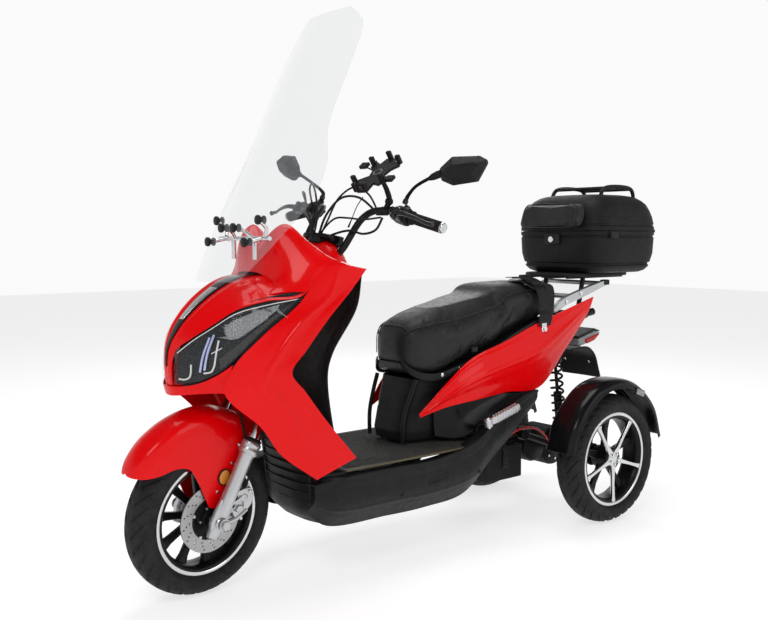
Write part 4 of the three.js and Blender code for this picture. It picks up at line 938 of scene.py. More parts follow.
# ---------- front body covers ----------
LENS_UPPER = [(wide(0.15), -82, 702), (wide(0.31), -54, 738), (wide(0.47), -10, 775), (wide(0.61), 46, 816),
              (wide(0.73), 126, 838), (wide(0.83), 222, 850)]
LENS_LOWER = [(wide(0.13), -86, 606), (wide(0.39), -52, 618), (wide(0.61), -13, 647), (wide(0.7), 16, 674),
              (wide(0.775), 100, 752), (wide(0.822), 208, 832)]
SEAM = 4
LENS_ROWS = [[(u[0], u[1], u[2] - SEAM), tuple(0.5 * (a + b) + d for a, b, d in zip(u, v, (5, -5, 0))),
              (v[0], v[1], v[2] + SEAM)] for u, v in zip(LENS_UPPER, LENS_LOWER)]


def bands(grid, first, last, lift=0.0):
    """The part of a grid between two columns, given as shares, moved off its surface by lift."""
    grid = np.asarray(grid)
    columns = grid.shape[1] - 1
    a, b = int(round(first * columns)), int(round(last * columns))
    return offset(grid, lift)[:, a:b + 1]


def normals_of(grid):
    down, right = np.gradient(grid, axis=0), np.gradient(grid, axis=1)
    n = np.cross(down, right)
    return n / np.maximum(np.linalg.norm(n, axis=-1, keepdims=True), 1e-9)


def offset(grid, distance):
    """The grid moved off its face, by less where it runs out to a tip."""
    grid = np.asarray(grid)
    n = normals_of(grid)
    outward = np.sign(np.sum(n[..., 0] * grid[..., 0])) or 1.0
    width = np.linalg.norm(grid[:, -1] - grid[:, 0], axis=-1)[:, None, None]
    return grid + outward * np.sign(distance) * np.minimum(abs(distance), 0.22 * width) * n


def strip_on(grid, path, half, lift, count=60):
    """A raised strip that follows (row share, column share) points on a grid."""
    grid = offset(grid, lift)
    rows, columns = grid.shape[0] - 1, grid.shape[1] - 1

    def at(u, v):
        i, j = min(max(u, 0), 1) * rows, min(max(v, 0), 1) * columns
        i0, j0 = min(int(i), rows - 1), min(int(j), columns - 1)
        a, b = i - i0, j - j0
        return ((1 - a) * (1 - b) * grid[i0, j0] + a * (1 - b) * grid[i0 + 1, j0] + (1 - a) * b * grid[i0,
            j0 + 1]
                + a * b * grid[i0 + 1, j0 + 1])
    points = [at(u, v) for u, v in smooth(path, count)]
    return tube(points, half, count, 10)


def headlights():
    grid = fine_grid(front(LENS_ROWS), 80, 40)
    for flip, hand in ((lambda p: p, "left"), (mirrored, "right")):
        back = sheet_of(offset(grid, -14))
        surround = surface(front([[(u[0] - 6, u[1] + 16, u[2] + 14),
                                   (0.5 * (u[0] + v[0]), 0.5 * (u[1] + v[1]) + 34, 0.5 * (u[2] + v[2])),
                                   (v[0] - 2, v[1] + 22, v[2] - 12)] for u,
                                  v in zip(LENS_UPPER, LENS_LOWER)]), 60, 16)
        make("headlight_surround_" + hand, flip(surround), LAMP_HOUSING, "chassis", thick=2,
             angle=60)
        make("headlight_housing_" + hand, flip(back), LAMP_HOUSING, "chassis", thick=2,
             angle=60)
        make("headlight_" + hand, flip(sheet_of(grid)), LENS, "chassis", "headlight_" + hand,
             thick=2.4,
             bevel=0.6, angle=70)
        strip = day_strip(grid)
        make("headlight_day_strip_" + hand, flip(strip), DIFFUSER, "chassis", thick=3, bevel=0.6)
        rim = strip_on(grid, [(0.02, 0.03), (0.5, 0.02), (0.98, 0.1)], 1.2, -0.6)
        make("headlight_rim_" + hand, flip(rim), LIGHT_GUIDE, "chassis")
        divider = [p for s in (0.0, 0.04) for p in strip_on(grid,
                                                            [(0.36 + s, 0.16), (0.29 + s, 0.46),
                                                                (0.24 + s, 0.8)], 3.4, -5)]
        make("headlight_divider_" + hand, flip(divider), BLUE_GLASS, "chassis")
        hooks = strip_on(grid, [(0.44, 0.34), (0.4, 0.6), (0.36, 0.84), (0.33, 0.9), (0.27, 0.86)], 2.6,
                         -5) + \
            strip_on(grid, [(0.17, 0.54), (0.155, 0.76), (0.13, 0.86), (0.09, 0.88), (0.04, 0.84)], 2.6,
                     -5) + \
            strip_on(grid, [(0.36, 0.52), (0.47, 0.54)], 1.4, -5)
        make("headlight_guides_" + hand, flip(hooks), LIGHT_GUIDE, "chassis")
        band = sheet_of(bands(grid[34:79], 0.72, 0.95, -4))
        make("headlight_band_" + hand, flip(band), LAMP_BAND, "chassis", thick=3, bevel=0.8)


def day_strip(grid):
    """The textured light bar near the lamp's rear tip."""
    rows = np.linspace(0.5, 0.88, 40)
    depth = np.interp(rows, (0.5, 0.56, 0.66, 0.8, 0.88), (0.12, 0.34, 0.46, 0.5, 0.3))
    lower = offset(grid, -6)
    strip = []
    for u, reach in zip(rows, depth):
        row = lower[int(u * (len(lower) - 1))]
        at = np.linspace(0.14, 0.14 + reach, 14) * (len(row) - 1)
        strip.append(np.stack([np.interp(at, np.arange(len(row)), row[:, k]) for k in range(3)], -1))
    return sheet_of(np.array(strip))


def nose():
    crowns = [(0, -88, 712), (0, -62, 762), (0, -18, 812), (0, 40, 858), (0, 112, 896), (0, 226, 916)]
    half = []
    for (x, y, z), crown in zip(LENS_UPPER, crowns):
        low = [0.55 * x, crown[1] + 0.25 * (y - crown[1]), z + 0.8 * (crown[2] - z)]
        half.append([(x, y, z + SEAM), tuple(low), crown, (-low[0], low[1], low[2]), (-x, y, z + SEAM)])

    def across_at(share, y, z, rise):
        return [(wide(share), y, z), (wide(share * 0.5), y - rise, z + rise), (0, y - rise, z + rise),
                (-wide(share * 0.5), y - rise, z + rise), (-wide(share), y, z)]
    rows = front([across_at(0.08, -84, 588, 2),
                  across_at(0.1, -90, 660, 3)] + half + [across_at(0.8, 286, 932, 6)])
    grid = fine_grid(rows, 120, 60)
    # two ribs stand up beside the centre strip
    share = np.abs(np.arange(61) - 30) / 30
    ribs = 5 * np.exp(-((share - 0.36) / 0.07) ** 2)
    fade = np.clip(np.arange(121) / 30 - 0.6, 0, 1)
    n = normals_of(grid)
    up = np.sign(n[90, 30, 2])
    shell = grid + up * n * (ribs[None, :] * fade[:, None] - 1.5)[..., None]
    # the lip under the headlights runs back into the side fairings
    lip = [((wide(0.71), 16, 672), (wide(0.728), -6, 596)), ((wide(0.61), -13, 646), (wide(0.63), -17, 596)),
           ((wide(0.39), -52, 617), (wide(0.41), -50, 590)), ((wide(0.13), -88, 606), (wide(0.12), -82, 580)),
           ((0, -92, 606), (0, -86, 578))]
    edge = [[high, tuple(0.5 * (a + b) for a, b in zip(high, low)), low] for high, low in lip]
    edge += [[(-x, y, z) for x, y, z in column] for column in edge[:-1][::-1]]
    make("nose_cover", sheet_of(shell) + surface(front(edge), 90, 8), RED, "chassis",
         "nose_cover", thick=2.6,
         bevel=1, angle=60)
    lift = lambda d, c0, c1, r0, r1: sheet_of((grid + up * n * d)[r0:r1, c0:c1])
    make("nose_strip", lift(1.6, 25, 36, 14, 104), GLOSS_BLACK, "chassis", thick=3, bevel=1)
    make("nose_insert", lift(3.4, 27, 34, 52, 80), POLISHED, "chassis", thick=3, bevel=1)
    make("nose_cap", lift(3.0, 26, 35, 98, 106), GLOSS_BLACK, "chassis", thick=4,
         bevel=1.2)


FAIRING_ROWS = [
    [(wide(0.88), 259, 326), (wide(0.9), 326, 349), (wide(0.92), 393, 372)],
    [(wide(0.85), 144, 415), (wide(0.9), 210, 452), (wide(0.93), 290, 490)],
    [(wide(0.82), 90, 493), (wide(0.9), 150, 540), (wide(0.94), 214, 585)],
    [(wide(0.72), -10, 598), (wide(0.86), 80, 622), (wide(0.96), 167, 644)],
    [(wide(0.72), 18, 666), (wide(0.88), 120, 690), (wide(0.97), 215, 705)],
    [(wide(0.784), 103, 748), (wide(0.9), 205, 780), (wide(0.98), 290, 790)],
    [(wide(0.832), 220, 838), (wide(0.93), 300, 850), (wide(0.99), 356, 856)],
    [(wide(0.82), 296, 942), (wide(0.93), 350, 936), (wide(1), 417, 923)]]


def side_fairings():
    grid = fine_grid(front(FAIRING_ROWS), 120, 44)
    n = normals_of(grid)
    out = np.sign(np.sum(n[..., 0]))
    u, v = np.arange(121)[:, None] / 120, np.arange(45)[None, :] / 44
    # a crease runs from the chin up behind the headlight, and a hollow lies behind it
    crease = 4.5 * np.exp(-((v - 0.42 - 0.16 * np.sin(pi * u)) / 0.06) ** 2) * np.clip(4 * u * (1 - u) * 1.5,
        0, 1)
    hollow = -4 * np.exp(-((v - 0.72) / 0.16) ** 2) * np.clip(4 * u * (1 - u), 0, 1)
    shaped = grid + out * n * (crease + hollow)[..., None]
    panel = sheet_of(shaped)
    for flip, hand in ((lambda p: p, "left"), (mirrored, "right")):
        make("side_fairing_" + hand, flip(panel), RED, "chassis", "side_fairing_" + hand,
             thick=3, bevel=1,
             angle=60)


def dash():
    def row(y, skirt, edge, hump, middle_z):
        half = [(wide(skirt[0]), y + skirt[1], skirt[2]), (wide(edge[0]), y, edge[1]),
                (wide(hump[0]), y - 6, hump[1])]
        return half + [(0, y - 10, middle_z)] + [(-a, b, c) for a, b, c in half[::-1]]
    rows = front([row(180, (0.66, -40, 858), (0.45, 888), (0.26, 908), 914),
                  row(206, (0.76, -10, 862), (0.6, 918), (0.34, 1022), 985),
                  row(250, (0.84, 0, 866), (0.72, 940), (0.37, 1052), 990),
                  row(300, (0.875, 0, 890), (0.8, 953), (0.42, 1008), 975),
                  row(340, (0.9, 0, 915), (0.81, 948), (0.5, 965), 960),
                  row(408, (0.93, 0, 920), (0.82, 928), (0.5, 946), 944)])
    grid = fine_grid(rows, 90, 120)
    rake = Vector((0, sin(RAKE), cos(RAKE)))
    centre = np.array(AXIS_FOOT)
    flat = grid - centre
    off_axis = flat - (flat @ np.array(rake))[..., None] * np.array(rake)
    away = np.linalg.norm(off_axis, axis=-1)
    pushed = centre + (flat @ np.array(rake))[...,
                                              None] * np.array(rake) + off_axis * (np.maximum(away,
                                                  132.5) / np.maximum(away, 1e-6))[..., None]
    keep = [(i * 121 + j, i * 121 + j + 1, (i + 1) * 121 + j + 1,
             (i + 1) * 121 + j) for i in range(90) for j in range(120)
            if max(away[i, j], away[i, j + 1], away[i + 1, j], away[i + 1, j + 1]) > 133]
    make("dash_cover", [(pushed.reshape(-1, 3), keep)], RED, "chassis", "dash_cover", thick=2.8,
         bevel=1, angle=60)
    axis_space = BODY @ Matrix.Translation(AXIS_FOOT) @ Matrix.Rotation(-RAKE, 4, "X")
    boot = turned([(119, 757), (111, 762), (104, 758), (92, 770), (84, 766), (70, 776), (60, 768), (48, 774),
                   (30, 776),
                   (30, 772), (60, 764), (92, 758), (119, 752)], 96, "Z")
    make("steering_boot", boot, GRIP, "chassis", space=axis_space, angle=60)


def leg_shield():
    def row(y, z, bulge, share):
        return [(wide(share), y, z), (wide(0.5), y + bulge * 0.7, z), (0, y + bulge, z),
                (-wide(0.5), y + bulge * 0.7, z),
                (-wide(share), y, z)]
    rows = front([row(418, 904, 34, 0.88), row(396, 812, 40, 0.9), row(312, 690, 60, 0.9),
                  row(294, 630, 66, 0.89),
                  row(312, 480, 48, 0.88), row(352, FLOOR_Z + 8, 20, 0.86)])
    grid = fine_grid(rows, 90, 60)
    n = normals_of(grid)
    back = np.sign(np.sum(n[..., 1]))
    u, v = np.arange(91)[:, None] / 90, np.abs(np.arange(61)[None, :] - 30) / 30
    frame_line = 3 * np.exp(-((v - 0.86) / 0.03) ** 2) - 5 * (1 / (1 + np.exp((v - 0.7) * 60))) * \
        (1 / (1 + np.exp((np.abs(u - 0.32) - 0.16) * 60)))
    make("leg_shield", sheet_of(grid + back * n * frame_line[..., None]), BLACK, "chassis",
         "leg_shield",
         thick=4, bevel=1, angle=60)
    lock = moved(turned([(0.1, 0), (16, 0), (17, 2), (17, 6), (14, 9), (7, 9), (6, 6), (0.1, 6)], 40, "Y"),
                 Matrix.Translation((64, FRONT_Y + 436, 850)))
    make("ignition_lock", lock, CHROME, "chassis", angle=30)
    bow = plate([[(12 * cos(a), 15 * sin(a) + 4 * (sin(a) > 0)) for a in np.linspace(0, 2 * pi, 33)[:-1]],
                 circle(3, 16, (0, 13))], 6,
                lambda u_, v_, d: (64 + d, FRONT_Y + 468 + u_, 852 + v_))
    blade = block((4, 26, 9), (64, FRONT_Y + 456, 852))
    make("ignition_key", bow + blade, CONTROL, "ignition_key", "ignition_key", bevel=1)


def grille():
    def row(y, z, share):
        return [(wide(share), y + 26, z), (wide(share * 0.5), y + 4, z), (0, y, z),
                (-wide(share * 0.5), y + 4, z),
                (-wide(share), y + 26, z)]
    rows = front([row(262, 470, 0.66), row(274, 400, 0.66), row(286, 300, 0.64), row(292, 200, 0.6),
                  row(330, 156, 0.56)])
    grid = fine_grid(rows, 80, 60)
    fins = []
    for k in range(9):
        y, z = FRONT_Y + 266 + 2.6 * k, 446 - 27 * k
        fins += loft([superellipse((x, y + 7 + 0.0011 * x * x, z), 9, 3.2, (0, 1, 0), (0, 0.25, 1), 16, 4)
                      for x in np.linspace(-118, 118, 25)])
    frame_edge = [p for s in (1, -1) for p in tube([(s * 124, FRONT_Y + 280, 462),
                                                    (s * 126, FRONT_Y + 290, 400),
                                                    (s * 124, FRONT_Y + 300, 300),
                                                    (s * 118, FRONT_Y + 308, 210)], 6, 40, 12)]
    make("front_grille", sheet_of(grid), BLACK, "chassis", "front_grille", thick=4, bevel=1,
         angle=60)
    make("grille_fins", fins + frame_edge, BLACK, "chassis", angle=60)


def belly():
    def row(y, top, foot, top_share=0.9, foot_share=0.6):
        return [(wide(top_share), y, top), (wide(top_share - 0.02), y + 4, top - 0.5 * (top - foot)),
                (wide(foot_share), y + 8, foot)]
    rows = front([row(262, 306, 210, 0.82, 0.58), row(330, 318, 160), row(560, 318, 146)]) + \
        rear([row(-726, 318, 144), row(-560, 352, 160), row(-440, 420, 250, 0.82, 0.62),
              row(-300, 466, 350, 0.74, 0.6),
              row(-200, 474, 416, 0.64, 0.54)])
    grid = fine_grid(rows, 200, 40)
    n = normals_of(grid)
    out = np.sign(np.sum(n[..., 0]))
    u, v = np.arange(201)[:, None] / 200, np.arange(41)[None, :] / 40
    fade = np.clip(8 * u * (0.78 - u), 0, 1)
    step = 3 / (1 + np.exp((v - 0.16) * 90)) + 2.5 * np.exp(-((v - 0.62) / 0.035) ** 2) * fade
    slot = -4 * ((np.abs(v - 0.34) < 0.07) & (np.abs(u - 0.42) < 0.035))
    ledge = [[(p[0] - 44, p[1], p[2] - 4), (p[0] - 22, p[1], p[2] - 1), tuple(p)] for p in grid[::20, 0]]
    side = sheet_of(grid + out * n * (step + slot)[..., None]) + surface(ledge, 60, 6)
    for flip, hand in ((lambda p: p, "left"), (mirrored, "right")):
        make("belly_panel_" + hand, flip(side), BLACK, "chassis", "belly_panel_" + hand,
             thick=4, bevel=1,
             angle=50)
        clips = []
        for i, j in ((60, 22), (118, 24), (150, 12)):
            clips += moved(knob(7, -1, 3, "X", 1.2, 24), Matrix.Translation(tuple(grid[i, j] + (2, 0, 0))))
        make("belly_clips_" + hand, flip(clips), CONTROL, "chassis")


def floor_mat():
    y0, y1 = FRONT_Y + 360, REAR_Y - 540
    half = wide(0.85)
    ribs = []
    tray = block((2 * half, y1 - y0, 8), (0, 0.5 * (y0 + y1), FLOOR_Z - 8))
    for k in range(31):
        x = -half + 16 + k * (2 * half - 32) / 30
        ribs += loft([superellipse((x, y, FLOOR_Z - 4.6), 4, 2.6 if 0 < i < 3 else 1.2, (1, 0, 0), (0, 0, 1),
                                   12, 3)
                      for i, y in enumerate((y0 + 18, y0 + 22, y1 - 22, y1 - 18))])
    make("floorboard", tray + ribs, MAT, "chassis", "floorboard", bevel=1.2)
    edge = [p for s in (1, -1) for p in tube([(s * (half + 1), y0 + 6, FLOOR_Z - 7),
                                              (s * (half + 2), 0.5 * (y0 + y1), FLOOR_Z - 7),
                                              (s * (half + 1), y1 - 4, FLOOR_Z - 7)], 4.5, 60, 12)]
    make("floor_edge_trim", edge, BRASS, "chassis")


# ---------- windscreen ----------
def windscreen():
    def row(y, z, half, sweep):
        return [(half, y + sweep, z), (half * 0.55, y + sweep * 0.32, z), (0, y, z),
                (-half * 0.55, y + sweep * 0.32, z), (-half, y + sweep, z)]
    rows = front([row(26, 890, 122, 38), row(84, 1000, 188, 62), row(144, 1120, 236, 92),
                  row(194, 1215, 232, 92),
                  row(256, 1330, 196, 64), row(364, 1530, 190, 46), row(430, 1640, 170, 32),
                  row(456, 1694, 112, 10)])
    grid = fine_grid(rows, 110, 60)
    make("windscreen", sheet_of(grid), CLEAR, "chassis", "windscreen", thick=3.6, bevel=1,
         angle=80)
    y, bars, knobs = FRONT_Y + 158, [], []
    bars += rod((-140, y, 1010), (140, y, 1010), 6)
    for s in (1, -1):
        bars += rod((s * 60, y, 1010), (s * 60, y, 950), 7)
        for x, z in ((118, 1062), (104, 1000), (34, 1040)):
            seat = front([[(s * x, 0.0, z)]])[0][0]
            depth = float(np.interp(z, (890, 1000, 1120), (26, 84, 144))) + float(np.interp(abs(x),
                (0, 100, 190), (0, 18, 60)))
            at = Matrix.Translation((seat[0], FRONT_Y + depth, z))
            knobs += moved(turned([(0.1, -14), (9, -14), (13, -12), (14, -8), (13, -4), (8, -3), (8, 8),
                                   (12, 9), (12, 13), (0.1, 13)], 32, "Y"), at)
        bars += tube([(s * 118, y - 22, 1062), (s * 112, y + 6, 1036), (s * 104, y, 1010), (s * 84, y, 1004),
                      (s * 60, y, 1010)], 5.5, 40, 14)
        bars += tube([(s * 104, FRONT_Y + 108, 1000), (s * 100, y - 16, 1006), (s * 96, y, 1010)], 5.5, 30,
                     14)
        bars += tube([(s * 34, FRONT_Y + 122, 1040), (s * 40, y - 16, 1026), (s * 52, y, 1010)], 5.5, 30, 14)
    make("windscreen_bracket", bars, CHROME, "chassis", "windscreen_bracket")
    make("windscreen_knobs", knobs, CONTROL, "chassis", angle=40)


# ---------- frame, battery and seat box ----------
RAIL_X = 140
TUBE = 14
SWING_PIVOT = (-196, 300)
PEG_X, PEG_Z = 226, 404


def at_front(x, y, z):
    return (x, FRONT_Y + y, z)


def at_rear(x, y, z):
    return (x, REAR_Y + y, z)


def on_axis(height, forward=0):
    return (0, AXIS_FOOT.y + height * sin(RAKE) + forward, AXIS_FOOT.z + height * cos(RAKE))


def main_frame():
    axis_space = BODY @ Matrix.Translation(AXIS_FOOT) @ Matrix.Rotation(-RAKE, 4, "X")
    head = turned([(16.2, 430), (27, 430), (29, 433), (29, 446), (26, 449), (26, 631), (29, 634), (29, 647),
                   (27, 650), (16.2, 650)],
                  48, "Z")
    make("head_tube", head, FRAME_PAINT, "chassis", space=axis_space)
    spine = tube([on_axis(540, 18), at_front(0, 296, 560), at_front(0, 312, 380), at_front(0, 384, 236)],
                 TUBE + 3, 50, 20)
    rail = tube([at_front(0, 384, 236), at_front(RAIL_X, 444, 226), at_front(RAIL_X, 620, 226),
                 at_rear(RAIL_X, -640, 226), at_rear(RAIL_X, -440, 300),
                 at_rear(RAIL_X - 4, -330, 560), at_rear(RAIL_X - 14, -180, 660),
                 at_rear(RAIL_X - 34, 60, 716),
                 at_rear(RAIL_X - 34, 160, 730)], TUBE, 120, 18)
    across = [p for y, z, dx in ((FRONT_Y + 620, 226, -4), (REAR_Y - 600, 226, -4), (REAR_Y - 190, 655, 8),
                                 (REAR_Y + 90, 722, 8))
              for p in rod((-RAIL_X + dx, y, z), (RAIL_X - dx, y, z), TUBE - 2)]
    post = rod(at_rear(90, 90, 722), at_rear(90, 120, 862), 9)
    hanger = rod(at_rear(RAIL_X - 8, -440, 300), at_rear(48, *SWING_PIVOT), 11)
    peg_hanger = tube([at_rear(RAIL_X, -470, 290), at_rear(188, -520, 398), at_rear(PEG_X - 10, -520, PEG_Z)],
                      8, 30, 14)
    pin = rod(at_rear(-96, *SWING_PIVOT), at_rear(96, *SWING_PIVOT), 9)
    make("main_frame", spine + across + pin + both_sides(rail + post + hanger + peg_hanger), FRAME_PAINT,
         "chassis",
         "main_frame", angle=50)
    loom = tube([at_front(30, 330, 560), at_front(24, 336, 380), at_front(30, 420, 250),
                 at_rear(40, -620, 244), at_rear(60, -440, 300)],
                6, 60, 12)
    make("frame_loom", loom, CABLE, "chassis")


def battery():
    case = block((220, 176, 112), at_rear(0, -316, 213))
    lid = block((224, 180, 10), at_rear(0, -316, 272)) + block((180, 140, 12), at_rear(0, -316, 281))
    strap = ribbon([at_rear(-114, -316, 200), at_rear(-113, -316, 270), at_rear(-90, -316, 290),
                    at_rear(90, -316, 290),
                    at_rear(113, -316, 270), at_rear(114, -316, 200)], 14, 2, (0, 1, 0), 60)
    make("battery_pack", case + lid, CASE, "chassis", "battery_pack", bevel=5)
    make("battery_strap", strap, STRAP, "chassis")


def seat_box():
    levels = [(-762, -400, 92, 350), (-768, -390, 98, 380), (-742, -380, 104, 480), (-716, -376, 108, 572)]
    def ring(y0, y1, half, z, inset):
        return superellipse(at_rear(0, 0.5 * (y0 + y1), z), half - inset, 0.5 * (y1 - y0) - inset, (1, 0, 0),
                            (0, 1, 0), 96, 5)
    heights = np.linspace(350, 552, 40)
    def at_level(z, inset):
        y0, y1, half = (np.interp(z, [l[3] for l in levels], [l[k] for l in levels]) for k in range(3))
        groove = 2.0 * np.exp(-((z - 452) / 4) ** 2) + 2.0 * np.exp(-((z - 520) / 4) ** 2)
        return ring(y0, y1, half, z, inset + groove)
    outer = [at_level(z, 0) for z in heights]
    inner = [at_level(551, 4)] + [at_level(z, 4) for z in heights[::-1][4:-2]]
    make("seat_box", loft(outer + inner), CASE, "chassis", "seat_box", bevel=1.2, angle=50)
    strut = tube([at_rear(86, -768, 352), at_rear(90, -764, 430), at_rear(97, -742, 500),
                  at_rear(101, -722, 552)], 7, 40, 16)
    skirt = surface(rear([[(wide(0.46), -650, 356), (wide(0.45), -655, 430), (wide(0.5), -660, 500)],
                          [(wide(0.62), -560, 350), (wide(0.54), -570, 420), (wide(0.54), -580, 492)],
                          [(wide(0.7), -450, 410), (wide(0.6), -460, 450), (wide(0.58), -470, 496)],
                          [(wide(0.7), -340, 452), (wide(0.64), -345, 474), (wide(0.6), -350, 500)],
                          [(wide(0.66), -215, 470), (wide(0.62), -215, 486), (wide(0.6), -215, 504)]]), 60,
                    24)
    make("seat_box_skirt", both_sides(skirt), GLOSS_BLACK, "chassis", thick=3, bevel=0.8,
         angle=60)
    make("seat_box_struts", both_sides(strut), FRAME_PAINT, "chassis")


# ---------- tail ----------
TAIL_ROWS = [
    [(wide(0.53), -734, 446), (wide(0.535), -732, 440), (wide(0.53), -730, 434)],
    [(wide(0.64), -640, 540), (wide(0.68), -640, 505), (wide(0.65), -640, 462)],
    [(wide(0.68), -537, 613), (wide(0.75), -530, 550), (wide(0.7), -520, 474)],
    [(wide(0.68), -376, 660), (wide(0.75), -376, 575), (wide(0.685), -376, 484)],
    [(wide(0.67), -226, 708), (wide(0.735), -215, 600), (wide(0.645), -190, 484)],
    [(wide(0.645), -60, 750), (wide(0.685), -50, 676), (wide(0.62), -50, 604)],
    [(wide(0.58), 120, 790), (wide(0.6), 96, 752), (wide(0.595), 66, 710)]]


def tail_panels():
    grid = fine_grid(rear(TAIL_ROWS), 140, 44)
    n = normals_of(grid)
    out = np.sign(np.sum(n[..., 0]))
    u, v = np.arange(141)[:, None] / 140, np.arange(45)[None, :] / 44
    fade = np.clip(10 * u, 0, 1) * np.clip(6 * (1 - u), 0, 1)
    crease = 4 * np.exp(-((v - 0.62 + 0.3 * u) / 0.05) ** 2)
    scoop = -5 * np.exp(-((v - 0.86 + 0.22 * u) / 0.11) ** 2) * np.clip(1.2 - u, 0, 1)
    upper = 2.5 * np.exp(-((v - 0.12) / 0.05) ** 2)
    side = sheet_of(grid + out * n * (fade * (crease + scoop + upper))[..., None])
    for flip, hand in ((lambda p: p, "left"), (mirrored, "right")):
        make("tail_panel_" + hand, flip(side), RED, "chassis", "tail_panel_" + hand, thick=3,
             bevel=1, angle=60)


def grab_rail():
    upper = smooth([(-108, 750), (-66, 784), (60, 822), (194, 852)], 24)
    lower = smooth([(196, 834), (70, 796), (-40, 766), (-98, 740)], 24)
    rim = [(REAR_Y + y, z) for y, z in list(upper) + list(lower)]
    bar = plate([rim], 18, in_side_plane(138))
    rods = [p for y, z in ((0, 796), (170, 838)) for p in rod(at_rear(-132, y, z), at_rear(132, y, z), 9)]
    make("grab_rail", both_sides(bar) + rods, ALLOY, "chassis", "grab_rail", bevel=4, angle=40)
    pads = both_sides(block((24, 30, 20), at_rear(138, 190, 842)))
    bolts = both_sides([p for y, z in ((-40, 778), (40, 806)) for p in moved(knob(8, 0, 4, "X", 1.5, 24),
        Matrix.Translation(at_rear(147, y, z)))])
    make("grab_rail_ends", pads, CONTROL, "chassis", bevel=3)
    make("grab_rail_bolts", bolts, CHROME, "chassis")


def rack_plate():
    rings = [superellipse(at_rear(0, 190, z), 130 - i, 190 - i, (1, 0, 0), (0, 1, 0), 96, 5)
             for z, i in ((864, 3), (865.5, 0.8), (867, 0), (875, 0), (876.5, 0.8), (RACK_TOP, 3))]
    ribs = [p for x in (-90, -30, 30, 90) for p in block((10, 330, 8), at_rear(x, 190, 861))]
    make("rack_plate", loft(rings) + ribs, CASE, "chassis", "rack_plate", bevel=1.5, angle=40)


def box_ring(z, width, length, inset=0.0, power=5.0):
    return superellipse(at_rear(0, BOX_MIDDLE_Y, z), 0.5 * width - inset, 0.5 * length - inset, (1, 0, 0),
                        (0, 1, 0), 128, power)


